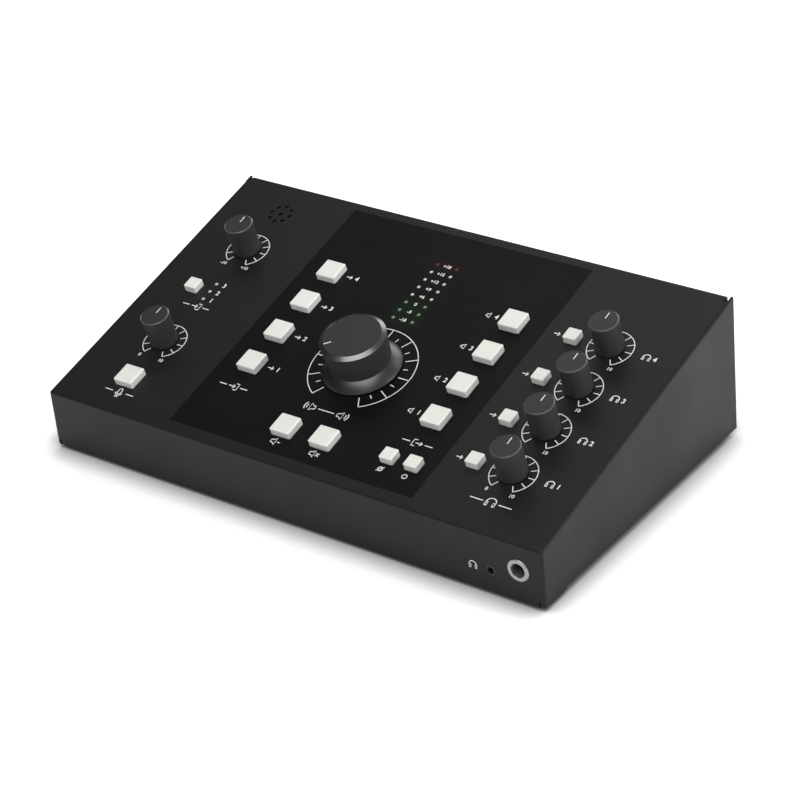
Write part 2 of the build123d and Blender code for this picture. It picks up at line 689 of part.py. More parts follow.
def phono_socket():
    """Coaxial socket: flanged body, plated sleeve and the insulator that holds its centre contact."""
    body = block(*PHONO_BODY, SOCKET_BACK, -SHEET) + rod(PHONO_FLANGE_R, -SHEET, PHONO_FLANGE)
    insulator_r = PHONO_R - 2 * PHONO_WALL
    recess = rod(PHONO_R - PHONO_WALL, PHONO_REACH - 1.2, PHONO_REACH + 1)
    sleeve = rod(PHONO_R, 0, PHONO_REACH) - recess
    insulator = rod(insulator_r, PHONO_REACH - 1.2, PHONO_REACH - 0.3)
    return body + sleeve + insulator - rod(PHONO_PIN_R, -2, PHONO_REACH + 1)


def optical_socket():
    """Square-mouthed optical socket with two cut corners."""
    body = block(*OPTICAL_BODY, SOCKET_BACK, OPTICAL_FACE)
    mouth = block(OPTICAL_MOUTH, OPTICAL_MOUTH, OPTICAL_DEPTH, OPTICAL_FACE + 1)
    return body - chamfer(mouth.edges().filter_by(Axis.Z).sort_by(Axis.Y)[-2:], OPTICAL_CORNER)


def power_inlet():
    """Barrel inlet: round well with its own centre pin."""
    body = block(*POWER_BODY, SOCKET_BACK, -SHEET) + rod(POWER_FLANGE_R, -SHEET, POWER_FLANGE)
    return body - rod(POWER_R, POWER_DEPTH, 1) + rod(POWER_PIN_R, POWER_DEPTH, -0.6)


def pivot(radius, length):
    return Pos(0, 0, PIVOT_HEIGHT) * Rot(0, 90, 0) * Cylinder(radius, length)


def power_switch():
    """Snap-in switch housing: bezel on the rear panel, well for the rocker, two pivot holes."""
    housing = block(*ROCKER_OPENING, -13, 0) + block(*BEZEL, 0, BEZEL_HEIGHT)
    housing = chamfer(housing.faces().sort_by(Axis.Z)[-1].edges(), 0.5)
    housing -= block(*ROCKER_WELL, -8.5, BEZEL_HEIGHT + 1)
    return housing - pivot(PIVOT_R + SHAFT_RUNNING, ROCKER_OPENING[0] - 0.8)


def power_rocker():
    """Rocker with a shallow hollow between its two thumb pads, tilted to rest on one side."""
    end, pad, dip, foot = ROCKER_HALF_LENGTH, 3.2, 1.5, -4.0
    outline = Polyline(
        (-end, pad), (-end + 0.6, pad + 0.4), (0, dip), (end - 0.6, pad + 0.4), (end, pad),
        (end - 0.5, foot + 1.6), (2, foot), (-2, foot), (-end + 0.5, foot + 1.6),
        close=True,
    )
    rocker = extrude(Plane.YZ * make_face(outline), ROCKER_WIDTH / 2, both=True)
    tilt = Pos(0, 0, PIVOT_HEIGHT) * Rot(ROCKER_TILT, 0, 0) * Pos(0, 0, -PIVOT_HEIGHT)
    return tilt * (rocker + pivot(PIVOT_R, ROCKER_OPENING[0] - 1.2))


# ---------------------------------------------------------------- the whole controller
def build_case():
    save("top_cover", top_cover())
    save("base_tray", base_tray())
    save("rubber_feet", *rubber_feet())
    save("case_screws", *case_screws())
    save("panel_board", panel_board())
    save("rear_board", rear_board())
    save("phones_board", phones_board())
    save("board_spacers", *board_spacers())
    save("board_screws", *board_screws())
    save("ribbon_cable", *ribbon_cable())


def build_panel_controls():
    for name, x, v, width in KEYS:
        save(name, on_panel(x, v, key_cap(width)), on_panel(x, v, switch_stem()))
    save("key_switches", *[on_panel(x, v, key_switch()) for _, x, v, _ in KEYS])

    for name, x, v in DIALS:
        save(f"{name}_knob", on_panel(x, v, small_knob()))
        save(f"{name}_shaft", on_panel(x, v, pot_shaft()))
    small_body = block(*SMALL_POT, BOARD_TOP, POT_TOP)
    save("small_pots", *[on_panel(x, v, potentiometer(small_body)) for _, x, v in DIALS])

    name, x, v = LEVEL_DIAL
    at_rest = Rot(0, 0, -LEVEL_REST)
    save(f"{name}_knob", on_panel(x, v, at_rest * level_knob()))
    save(f"{name}_shaft", on_panel(x, v, at_rest * pot_shaft()))
    save(f"{name}_pot", on_panel(x, v, potentiometer(rod(LEVEL_POT_R, BOARD_TOP, POT_TOP))))
    save("pot_nuts", *[on_panel(x, v, pot_nut()) for _, x, v in DIALS + [LEVEL_DIAL]])

    for colour, rows in (("red", (0,)), ("yellow", (1, 2, 3, 4)), ("green", (5, 6, 7))):
        save(f"meter_lamps_{colour}", *[on_panel(x, v, lamp()) for x, v in meter_places(rows)])
    save("source_lamps", *[on_panel(x, v, lamp()) for x, v in SOURCE_LAMPS])
    save("talkback_mic", *[on_panel(TALK_X, MIC_V, piece) for piece in talkback_mic()])


def build_sockets():
    save("headphone_jack", on_front(*FRONT_JACK, phone_jack(FRONT_NOSE)))
    save("mini_jack", on_front(*MINI_JACK, mini_jack()))
    save("line_jacks", *[on_rear(x, z, phone_jack(JACK_NOSE)) for x, z in REAR_JACKS])
    trim_ring = on_front(*FRONT_JACK, jack_ring(-SHEET, FRONT_NOSE, FRONT_RING))
    save("jack_nuts", trim_ring, *[on_rear(x, z, jack_ring(0, JACK_NOSE, JACK_NUT)) for x, z in REAR_JACKS])
    save("phono_sockets", *[on_rear(x, z, phono_socket()) for x, z in PHONO_PLACES])
    save("optical_socket", on_rear(*OPTICAL_PLACE, optical_socket()))
    save("power_inlet", on_rear(*POWER_PLACE, power_inlet()))
    save("power_switch", on_rear(*SWITCH_PLACE, power_switch()))
    save("power_rocker", on_rear(*SWITCH_PLACE, power_rocker()))


os.makedirs("parts", exist_ok=True)
build_case()
build_panel_controls()
build_sockets()
print("slope", round(degrees(SLOPE), 2), "degrees; front face at y", round(FRONT_Y, 2))
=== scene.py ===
# %% [markdown]
# # Dressing a studio monitor controller
# The object is a low, wedge-shaped desktop box of folded steel. Its sloping top carries white keys,
# seven dials and a small level meter; its rear wall carries the sockets. The solid parts are already
# modelled and come in as a fixed frame. This lesson adds what makes them look real: paint, plastic and
# metal finishes, everything that is printed on the panel, the camera, the floor and the light.
# We start by loading the frame.

# %% Load the solid parts
from math import atan2, cos, degrees, radians, sin, tau

import bmesh
import bpy
from mathutils import Euler, Matrix, Vector


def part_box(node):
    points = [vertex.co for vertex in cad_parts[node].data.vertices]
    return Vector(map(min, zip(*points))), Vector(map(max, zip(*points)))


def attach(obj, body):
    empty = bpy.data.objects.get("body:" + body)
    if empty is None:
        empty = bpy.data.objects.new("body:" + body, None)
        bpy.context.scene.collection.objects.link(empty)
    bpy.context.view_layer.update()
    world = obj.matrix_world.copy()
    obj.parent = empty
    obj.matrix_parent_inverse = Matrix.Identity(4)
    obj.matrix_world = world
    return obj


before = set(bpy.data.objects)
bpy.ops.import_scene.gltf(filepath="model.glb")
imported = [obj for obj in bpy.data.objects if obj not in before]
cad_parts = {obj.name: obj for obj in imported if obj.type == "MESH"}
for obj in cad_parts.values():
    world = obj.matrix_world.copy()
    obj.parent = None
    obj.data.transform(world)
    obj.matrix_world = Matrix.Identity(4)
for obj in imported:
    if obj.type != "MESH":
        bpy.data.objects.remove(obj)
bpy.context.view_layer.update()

# %% [markdown]
# ## Finding our way on the sloping panel
# Every key and every print sits on a panel that leans back by about 15 degrees. Working that slope out
# for each piece would be tiresome, so one matrix carries a point from the panel's own frame (x across,
# y up the slope, z off the surface) to the world. The front face and the rear wall get a matrix each
# as well. Drawings are in millimetres, as a panel maker would write them.

# %% Three drawing frames
MM = 0.001
CASE_DEPTH = 160.0
PANEL_CLIMB = 41.8
PANEL_RISE = atan2(PANEL_CLIMB, CASE_DEPTH)
PANEL_EDGE = 31.1 * MM
FRONT_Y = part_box("top_cover")[0].y
REAR_Y = FRONT_Y + CASE_DEPTH * MM
UPRIGHT = Matrix.Rotation(radians(90), 4, "X")

panel_frame = Matrix.Translation((0, FRONT_Y, PANEL_EDGE)) @ Matrix.Rotation(PANEL_RISE, 4, "X")
front_frame = Matrix.Translation((0, FRONT_Y, 0)) @ UPRIGHT
rear_frame = Matrix.Translation((0, REAR_Y, 0)) @ Matrix.Rotation(radians(180), 4, "Z") @ UPRIGHT


def spot(drawing_frame, x, y, turn=0.0):
    """Matrix that puts a drawing in millimetres at a place in one of the three frames."""
    return (
        drawing_frame
        @ Matrix.Translation((x * MM, y * MM, 0))
        @ Matrix.Rotation(radians(turn), 4, "Z")
        @ Matrix.Scale(MM, 4)
    )


print("panel rises", round(degrees(PANEL_RISE), 2), "degrees from the front face at y", round(FRONT_Y, 5))

# %% [markdown]
# ## The camera
# The controller is seen from the front right and from above, through a long lens, so that its edges
# stay nearly parallel. The three angles tilt, roll and swing the camera.

# %% Camera
LENS = 116.336
CAMERA_PLACE = (0.658778, -0.805644, 0.641535)
CAMERA_ANGLES = (59.0144, 5.0565, 36.0542)

camera_data = bpy.data.cameras.new("studio_camera")
camera_data.sensor_width = 36.0
camera_data.lens = LENS
camera = bpy.data.objects.new("studio_camera", camera_data)
camera.location = CAMERA_PLACE
camera.rotation_euler = Euler([radians(angle) for angle in CAMERA_ANGLES])
bpy.context.scene.collection.objects.link(camera)
bpy.context.scene.camera = camera
print("camera at", CAMERA_PLACE, "with a", round(LENS), "mm lens")

# %% [markdown]
# ## A short way to write node trees
# Materials and Geometry Nodes are both trees of nodes. A few helpers keep them readable: `add` makes a
# node and fills its inputs with plain values or with other nodes' outputs, `maths` does one step of
# arithmetic, `mix` blends two colours and `spread` stretches a mask over a range of values. `vector`,
# `dot` and `distance` do the geometry.
# White plastic and ink are written as on a paint chip, 0 to 255, and `chip` turns them into the linear
# light that shaders use. Blacks and metals are written in linear light straight away.

# %% Node helpers
def chip(red, green, blue):
    """A colour as read off a paint chip, in linear light."""
    parts = [part / 255 for part in (red, green, blue)]
    return tuple(p / 12.92 if p < 0.04 else ((p + 0.055) / 1.055) ** 2.4 for p in parts)


def feed(tree, socket, value):
    if isinstance(value, bpy.types.NodeSocket):
        tree.links.new(value, socket)
    elif isinstance(value, tuple) and len(value) == 3 and socket.type == "RGBA":
        socket.default_value = (*value, 1.0)
    else:
        socket.default_value = value


def add(tree, kind, feeds=None, **settings):
    """Add a node. Feeds gives an input, by name or number, a value or another node's output."""
    node = tree.nodes.new(kind)
    for name, value in settings.items():
        setattr(node, name, value)
    for name, value in (feeds or {}).items():
        feed(tree, node.inputs[name], value)
    return node


def maths(tree, operation, first, second=0.0, clamp=False):
    feeds = {0: first, 1: second}
    return add(tree, "ShaderNodeMath", feeds, operation=operation, use_clamp=clamp).outputs[0]


def mix(tree, amount, first, second):
    """Only the first colour where amount is 0, only the second where it is 1."""
    return add(tree, "ShaderNodeMix", {0: amount, 6: first, 7: second}, data_type="RGBA").outputs[2]


def mix_value(tree, amount, first, second):
    return add(tree, "ShaderNodeMix", {0: amount, 2: first, 3: second}, data_type="FLOAT").outputs[0]


def spread(tree, mask, low, high):
    return add(tree, "ShaderNodeMapRange", {"Value": mask, "To Min": low, "To Max": high}).outputs[0]


def vector(tree, x=0.0, y=0.0, z=0.0):
    return add(tree, "ShaderNodeCombineXYZ", {0: x, 1: y, 2: z}).outputs[0]


def dot(tree, first, second):
    product = add(tree, "ShaderNodeVectorMath", {0: first, 1: second}, operation="DOT_PRODUCT")
    return product.outputs["Value"]


def distance(tree, across, up):
    squares = maths(tree, "ADD", maths(tree, "POWER", across, 2.0), maths(tree, "POWER", up, 2.0))
    return maths(tree, "SQRT", squares)


def noise(tree, where, scale, detail=2.0):
    return add(tree, "ShaderNodeTexNoise", {"Vector": where, "Scale": scale, "Detail": detail}).outputs[0]


def own_coordinates(tree):
    return add(tree, "ShaderNodeTexCoord").outputs["Object"]


def along_panel(tree, x=0.0, y=0.0):
    """Millimetres across, up and off the sloping panel, counted from one of its points."""
    origin = panel_frame @ Matrix.Translation((x * MM, y * MM, 0))
    feeds = {
        "Vector": own_coordinates(tree),
        "Location": tuple(origin.translation),
        "Rotation": (PANEL_RISE, 0, 0),
        "Scale": (MM, MM, MM),
    }
    turned = add(tree, "ShaderNodeMapping", feeds, vector_type="TEXTURE")
    return add(tree, "ShaderNodeSeparateXYZ", {0: turned.outputs[0]}).outputs


print("white paint chip in linear light:", [round(v, 3) for v in chip(222, 221, 214)])

# %% [markdown]
# ## Four effects that most finishes share
# Real parts are never quite sharp, smooth or clean. Each effect is a node group, built once and placed
# in every material with its own numbers.
# - *Soft edges* rounds sharp corners in the shading, as paint and moulding do, and says where they are.
# - *Grain* is the fine pebbled skin of powder paint, moulded plastic or blasted metal.
# - *Handling* is the uneven sheen that fingers and dust leave behind.
# - *Edge wear* breaks an edge mask into patches, because paint thins in some places and not in others.

# %% Shared effects
PEEL_SCALE = 0.23
FINE_SHARE = 0.55


def new_group(name, inputs, outputs):
    """An empty shader node group with number inputs, and its input and output sockets."""
    tree = bpy.data.node_groups.new(name, "ShaderNodeTree")
    for label, value in inputs:
        socket = tree.interface.new_socket(label, in_out="INPUT", socket_type="NodeSocketFloat")
        socket.default_value = value
    for label, kind in outputs:
        tree.interface.new_socket(label, in_out="OUTPUT", socket_type=kind)
    return tree, add(tree, "NodeGroupInput").outputs, add(tree, "NodeGroupOutput").inputs


def soft_edges_group():
    kinds = [("Normal", "NodeSocketVector"), ("Edge", "NodeSocketFloat")]
    tree, given, made = new_group("soft_edges", [("Radius", 0.2 * MM)], kinds)
    rounded = add(tree, "ShaderNodeBevel", {"Radius": given["Radius"]}, samples=6).outputs[0]
    facing = add(tree, "ShaderNodeNewGeometry").outputs["True Normal"]
    bent = maths(tree, "SUBTRACT", 1.0, dot(tree, rounded, facing))
    feed(tree, made["Normal"], rounded)
    feed(tree, made["Edge"], maths(tree, "MULTIPLY", bent, 5.0, clamp=True))
    return tree


def grain_group():
    """Fine grains on the broader waves of orange peel."""
    kinds = [("Height", "NodeSocketFloat"), ("Speckle", "NodeSocketFloat")]
    tree, given, made = new_group("grain", [("Size", 0.4 * MM)], kinds)
    where = own_coordinates(tree)
    density = maths(tree, "DIVIDE", 1.0, given["Size"])
    fine = noise(tree, where, density, 1.0)
    peel = noise(tree, where, maths(tree, "MULTIPLY", density, PEEL_SCALE), 1.0)
    feed(tree, made["Height"], maths(tree, "ADD", maths(tree, "MULTIPLY", fine, FINE_SHARE), peel))
    feed(tree, made["Speckle"], spread(tree, fine, -0.6, 1.6))
    return tree


def handling_group():
    tree, given, made = new_group("handling", [("Size", 30 * MM)], [("Sheen", "NodeSocketFloat")])
    scale = maths(tree, "DIVIDE", 1.0, given["Size"])
    cloud = noise(tree, own_coordinates(tree), scale, 4.0)
    patches = maths(tree, "SUBTRACT", maths(tree, "MULTIPLY", cloud, 2.0), 0.5, clamp=True)
    feed(tree, made["Sheen"], patches)
    return tree


def edge_wear_group():
    inputs = [("Edge", 0.0), ("Amount", 0.3), ("Patch size", 3 * MM)]
    tree, given, made = new_group("edge_wear", inputs, [("Mask", "NodeSocketFloat")])
    patches = noise(tree, own_coordinates(tree), maths(tree, "DIVIDE", 1.0, given["Patch size"]), 3.0)
    lifted = maths(tree, "ADD", patches, maths(tree, "SUBTRACT", given["Amount"], 0.75))
    patchy = maths(tree, "MULTIPLY", lifted, 4.0, clamp=True)
    feed(tree, made["Mask"], maths(tree, "MULTIPLY", patchy, given["Edge"], clamp=True))
    return tree


soft_edges, grain = soft_edges_group(), grain_group()
handling, edge_wear = handling_group(), edge_wear_group()
print("shared effects:", [group.name for group in bpy.data.node_groups])

# %% [markdown]
# ## One recipe for every finish
# Paint, plastic, rubber and plated metal differ in their numbers, not in their build-up: a colour and a
# roughness, a grain that lifts the surface, soft edges that catch the light, patches of handling and a
# worn colour on the edges. `finish` puts these together round one Principled shader. For a finish with
# zones, the colour, the roughness, the metal and the coat may each be a small function that draws them.

# %% The recipe
PATCH = 30 * MM
WEAR_PATCH = 3 * MM
WEAR_POLISH = 0.12


def placed(tree, group, **feeds):
    """Place a shared effect; its inputs are named with underscores for spaces."""
    node = tree.nodes.new("ShaderNodeGroup")
    node.node_tree = group
    for name, value in feeds.items():
        feed(tree, node.inputs[name.replace("_", " ").capitalize()], value)
    return node.outputs


def drawn(tree, value):
    return value(tree) if callable(value) else value


def finish(name, colour, roughness, grain_size, grain_depth, edge_radius=0.2, worn=None, wear=0.25,
           speckle=0.12, smudge=0.08, metallic=0.0, specular=0.5, coat=0.0, coat_roughness=0.4):
    """A finished surface. The grain's size and depth and the edges' radius are in millimetres."""
    material = bpy.data.materials.new(name)
    material.use_nodes = True
    tree = material.node_tree
    tree.nodes.clear()
    shader = add(tree, "ShaderNodeBsdfPrincipled")
    shader.inputs["Specular IOR Level"].default_value = specular
    shader.inputs["Coat Roughness"].default_value = coat_roughness
    feed(tree, shader.inputs["Coat Weight"], drawn(tree, coat))
    feed(tree, shader.inputs["Metallic"], drawn(tree, metallic))
    add(tree, "ShaderNodeOutputMaterial", {"Surface": shader.outputs[0]})

    edges = placed(tree, soft_edges, radius=edge_radius * MM)
    skin = placed(tree, grain, size=grain_size * MM)
    sheen = placed(tree, handling, size=PATCH)["Sheen"]
    bump = {"Height": skin["Height"], "Distance": grain_depth * MM, "Normal": edges["Normal"]}
    feed(tree, shader.inputs["Normal"], add(tree, "ShaderNodeBump", bump).outputs[0])

    base = drawn(tree, colour)
    lighter = mix(tree, speckle, base, mix(tree, 0.5, base, (0.5, 0.5, 0.5)))
    tinted = mix(tree, maths(tree, "MULTIPLY", skin["Speckle"], 0.5), base, lighter)
    rough = maths(tree, "ADD", drawn(tree, roughness), spread(tree, sheen, -smudge, smudge))
    if worn is not None:
        rubbed = placed(tree, edge_wear, edge=edges["Edge"], amount=wear, patch_size=WEAR_PATCH)["Mask"]
        tinted = mix(tree, rubbed, tinted, worn)
        rough = maths(tree, "SUBTRACT", rough, maths(tree, "MULTIPLY", rubbed, WEAR_POLISH))
    feed(tree, shader.inputs["Base Color"], tinted)
    feed(tree, shader.inputs["Roughness"], rough)
    return material


def paint_over(material, *nodes):
    """Give solid parts their finish."""
    for node in nodes:
        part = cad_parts[node]
        part.data.materials.clear()
        part.data.materials.append(material)
    print(material.name, "on", len(nodes), "parts")


# %% [markdown]
# ## Powder-coated steel
# The cover and the tray are steel, sprayed with black powder and baked. The coat is matt, slightly
# pebbled and a little glossier where hands rub it. On the folds and edges it is given a greyer tone,
# partly thinned, rubbed paint and partly a painted highlight where the edges catch the light. The middle
# of the panel has a darker printed field between the two key columns. It is flush, so it is a zone of
# the paint and not a piece of its own: its outline is worked out in the panel's own coordinates. Its
# ink is flatter than paint, so the thin shiny skin, which is the shader's coat, ends where it begins.
# Round the lit lamps of the meter the field is tinted green and red: painted light spilled from them.

# %% Cover and tray
FIELD_HALF_WIDTH = 69.2
FIELD_FROM, FIELD_TO = 6.0, 160.8
FIELD_DEPTH = 0.3
HALO = 5.0
METER_Y = 139.9
METER_PITCH = 5.52
METER_COLUMN = 5.5
RED_ROWS, GREEN_ROWS = (0, 0), (5, 7)
PAINT_BLACK = (0.0070, 0.0067, 0.0067)
FIELD_BLACK = (0.0020, 0.0016, 0.0019)
# Painted light: the green and red tints that the lit lamps spill onto the printed field.
GREEN_LAMP_SPILL = (0.0012, 0.0085, 0.0012)
RED_LAMP_SPILL = (0.0120, 0.0016, 0.0022)
# A greyer tone on the edges: partly rubbed paint and partly a painted highlight where the edges catch the
# light.
WORN_AND_LIT_EDGE = (0.026, 0.025, 0.024)


def centre_field(tree):
    """1 on the printed field, 0 on bare paint, with an edge a tenth of a millimetre soft."""
    across, up, off = along_panel(tree)[:3]
    side = maths(tree, "SUBTRACT", FIELD_HALF_WIDTH, maths(tree, "ABSOLUTE", across))
    front, rear = maths(tree, "SUBTRACT", up, FIELD_FROM), maths(tree, "SUBTRACT", FIELD_TO, up)
    nearest = maths(tree, "MINIMUM", side, maths(tree, "MINIMUM", front, rear))
    inside = maths(tree, "MULTIPLY", nearest, 10.0, clamp=True)
    return maths(tree, "MULTIPLY", inside, maths(tree, "GREATER_THAN", off, -FIELD_DEPTH))


def glow_round(tree, rows_from, rows_to):
    """Painted light that spills from lit lamps onto the panel: 1 among their rows, 0 a few millimetres
    away.
    """
    across, up = along_panel(tree)[:2]
    half = METER_PITCH * (rows_to - rows_from) / 2
    off_middle = maths(tree, "SUBTRACT", up, METER_Y - METER_PITCH * rows_from - half)
    beyond = maths(tree, "SUBTRACT", maths(tree, "ABSOLUTE", off_middle), half)
    aside = maths(tree, "SUBTRACT", maths(tree, "ABSOLUTE", across), METER_COLUMN)
    away = maths(tree, "MAXIMUM", maths(tree, "MAXIMUM", beyond, aside), 0.0)
    return maths(tree, "SUBTRACT", 1.0, maths(tree, "DIVIDE", away, HALO), clamp=True)


def cover_colour(tree):
    # The field is print; the green and red tints round the lit lamps mixed into it are painted light.
    printed = mix(tree, glow_round(tree, *GREEN_ROWS), FIELD_BLACK, GREEN_LAMP_SPILL)
    printed = mix(tree, glow_round(tree, *RED_ROWS), printed, RED_LAMP_SPILL)
    return mix(tree, centre_field(tree), PAINT_BLACK, printed)


def cover_coat(tree):
    """A thin shiny skin lies on the paint but not on the printed field, which is flatter."""
    return spread(tree, centre_field(tree), 0.27, 0.0)


cover_paint = finish("cover_paint", cover_colour, 0.46, 0.35, 0.012, 0.5,
                     worn=WORN_AND_LIT_EDGE, wear=0.3, speckle=0.03, specular=0.105,
                     coat=cover_coat, coat_roughness=0.46)
tray_paint = finish("tray_paint", PAINT_BLACK, 0.52, 0.35, 0.012, 0.3,
                    worn=WORN_AND_LIT_EDGE, wear=0.35, speckle=0.03, specular=0.24)
paint_over(cover_paint, "top_cover")
paint_over(tray_paint, "base_tray")

# %% [markdown]
# ## Keys
# The keys are moulded in off-white ABS with a fine satin texture. Light plastic shows grime before
# anything else, so the tops are a touch darker and yellower where the handling mask is strong. The
# bevels and the sides are painted a whiter tone than the tops all over: a painted highlight for the
# light that falls on them from the front.

# %% White key caps
OFF_PANEL = (0.0, -sin(PANEL_RISE), cos(PANEL_RISE))
FLAT, BEVELLED = 0.95, 0.3
FINGERTIP = 9 * MM
CAP_TOP, CAP_GRIME, CAP_SIDE_LIT = chip(232, 231, 225), chip(223, 220, 209), chip(250, 250, 246)


def facing_up(tree, least):
    """1 on faces that look up from the panel: FLAT takes the tops only, BEVELLED their bevels as well."""
    normal = add(tree, "ShaderNodeNewGeometry").outputs["True Normal"]
    return maths(tree, "GREATER_THAN", dot(tree, normal, OFF_PANEL), least)


def key_colour(tree):
    sheen = placed(tree, handling, size=FINGERTIP)["Sheen"]
    top = mix(tree, maths(tree, "MULTIPLY", sheen, 0.3), CAP_TOP, CAP_GRIME)
    # The bevels and sides get a whiter colour than the tops: a painted highlight.
    return mix(tree, facing_up(tree, FLAT), CAP_SIDE_LIT, top)


key_white = finish("key_white", key_colour, 0.42, 0.16, 0.004, 0.22,
                   worn=chip(240, 240, 235), wear=0.6, speckle=0.02, specular=0.45)
paint_over(key_white, *[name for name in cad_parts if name.endswith("_button")])

# %% [markdown]
# ## Dials
# The small knobs are soft-touch plastic. Their flat tops face the lamps and are painted a deeper black
# than the sides, as painted shade, and the bevel between the two is glossier and painted greyer, a
# painted highlight that shows as a thin bright ring. Their pale worn rims are partly wear and partly
# a painted highlight too.
# The large knob is turned from aluminium. Its flat face has faint turning marks, and the wide bevel and
# the flared skirt show the metal. Face and side lie under one matt black layer: the face, which looks up
# at the lamps, is painted a darker satin black as painted shade, and the straight side a matt dark grey
# as painted light. The zones follow the height above the panel and the distance from the knob's axis.

# %% Knobs
LEFT_COLUMN, RIGHT_COLUMN = -105.3, 103.9
PHONES_ROWS = [35.1 + 27.6 * row for row in range(4)]
DIAL_PLACES = {f"headphone_{i + 1}": (RIGHT_COLUMN, y) for i, y in enumerate(PHONES_ROWS)}
DIAL_PLACES.update(talkback=(LEFT_COLUMN, 49.0), trim=(LEFT_COLUMN, 117.7))
LEVEL_PLACE = (0.0, 67.6)
LEVEL_FACE_RADIUS = 13.85
LEVEL_BEVEL_FOOT = 18.62
LEVEL_SKIRT_TOP = 5.1
LEVEL_FACE_SHADED = ((0.0125, 0.0118, 0.013), (0.0175, 0.0167, 0.018))
LEVEL_SIDE_LIT = (0.037, 0.0355, 0.037)
LEVEL_SKIRT = (0.08, 0.08, 0.082)
LEVEL_BEVEL = (0.145, 0.145, 0.145)
KNOB_TOP_SHADED = (0.0165, 0.0159, 0.0156)
KNOB_BEVEL_HIGHLIGHT = (0.085, 0.085, 0.084)
KNOB_SIDE_LIT = (0.034, 0.0324, 0.0313)


def small_knob_colour(tree):
    # Painted shade on the tops, which face the lamps, painted light on the sides and a painted highlight
    # on the bevel.
    sides = mix(tree, facing_up(tree, BEVELLED), KNOB_SIDE_LIT, KNOB_BEVEL_HIGHLIGHT)
    return mix(tree, facing_up(tree, FLAT), sides, KNOB_TOP_SHADED)


def small_knob_roughness(tree):
    sides = spread(tree, facing_up(tree, BEVELLED), 0.5, 0.26)
    return mix_value(tree, facing_up(tree, FLAT), sides, 0.5)


def level_knob_zones(tree):
    """Masks of the large knob's face, bevel and skirt, and the distance from its axis."""
    across, up, off = along_panel(tree, *LEVEL_PLACE)[:3]
    radius = distance(tree, across, up)
    high = maths(tree, "GREATER_THAN", off, LEVEL_BEVEL_FOOT)
    outside = maths(tree, "GREATER_THAN", radius, LEVEL_FACE_RADIUS)
    bevel = maths(tree, "MULTIPLY", high, outside)
    skirt = maths(tree, "LESS_THAN", off, LEVEL_SKIRT_TOP)
    return maths(tree, "SUBTRACT", high, bevel), bevel, skirt, radius


def level_knob_colour(tree):
    face, bevel, skirt, radius = level_knob_zones(tree)
    rings = add(tree, "ShaderNodeTexNoise", {"W": radius, "Scale": 9.0}, noise_dimensions="1D")
    turned = mix(tree, rings.outputs[0], *LEVEL_FACE_SHADED)
    # The face and the side share one matt black layer. The darker face is painted shade and the lighter
    # side is painted light.
    body = mix(tree, face, LEVEL_SIDE_LIT, turned)
    return mix(tree, bevel, mix(tree, skirt, body, LEVEL_SKIRT), LEVEL_BEVEL)


def level_knob_metal(tree):
    """Metal shows on the bevel and the skirt; the rest is under a matt black layer."""
    _, bevel, skirt, _ = level_knob_zones(tree)
    return maths(tree, "MAXIMUM", bevel, skirt)


def level_knob_roughness(tree):
    _, bevel, skirt, _ = level_knob_zones(tree)
    return mix_value(tree, bevel, mix_value(tree, skirt, 0.46, 0.36), 0.28)


# The pale worn colour on the knobs' rims is partly wear and partly a painted highlight.
knob_black = finish("knob_black", small_knob_colour, small_knob_roughness, 0.22, 0.005, 0.16,
                    worn=(0.16, 0.16, 0.155), wear=0.2, speckle=0.02, specular=0.5)
level_knob_black = finish("level_knob_black", level_knob_colour, level_knob_roughness, 0.12, 0.0015,
                          0.12, speckle=0.0, smudge=0.04, metallic=level_knob_metal)
paint_over(knob_black, *[f"{name}_knob" for name in DIAL_PLACES])
paint_over(level_knob_black, "level_knob")

# %% [markdown]
# ## Lamps
# Each lamp is a two-millimetre lens that fills its hole. The green and the pale yellow lamps of the
# meter are lit, and the top pair, which warns of overload, glows a dim red. A lens shines from its
# middle and is dark at its rim, so the glow falls off with the distance from the middle of the nearest
# lamp in the column.

# %% Meter and source lamps
LENS_RADIUS = 1.0
LENS_BRIGHT_PART = 0.5
RIM_STEEPNESS = 2.4
RIM_GLOW = 0.12
SOURCE_LAMP_Y, SOURCE_LAMP_PITCH = 91.4, 5.55


def from_lens_middle(tree, x, y, pitch, both_sides):
    """Distance in lens radii from the middle of the nearest lamp of a column."""
    across, up = along_panel(tree, 0.0 if both_sides else x, y)[:2]
    aside = maths(tree, "SUBTRACT", maths(tree, "ABSOLUTE", across), x) if both_sides else across
    half = pitch / 2
    above_gap = maths(tree, "FLOORED_MODULO", maths(tree, "ADD", up, half), pitch)
    along = maths(tree, "SUBTRACT", above_gap, half)
    return maths(tree, "DIVIDE", distance(tree, aside, along), LENS_RADIUS)


def lamp(name, lens, glow, x=METER_COLUMN, y=METER_Y, pitch=METER_PITCH, both_sides=True):
    """A lens that glows. It starts from the recipe and adds the light of its own."""
    material = finish(name, lens, 0.35, 0.3, 0.004, 0.12, speckle=0.04, smudge=0.03, specular=0.25)
    tree = material.node_tree
    shader = next(node for node in tree.nodes if node.type == "BSDF_PRINCIPLED")
    away = from_lens_middle(tree, x, y, pitch, both_sides)
    outside = maths(tree, "SUBTRACT", away, LENS_BRIGHT_PART)
    rim = maths(tree, "MULTIPLY", outside, RIM_STEEPNESS, clamp=True)
    dim = tuple(RIM_GLOW * part for part in glow)
    feed(tree, shader.inputs["Emission Color"], mix(tree, rim, glow, dim))
    shader.inputs["Emission Strength"].default_value = 1.0
    return material


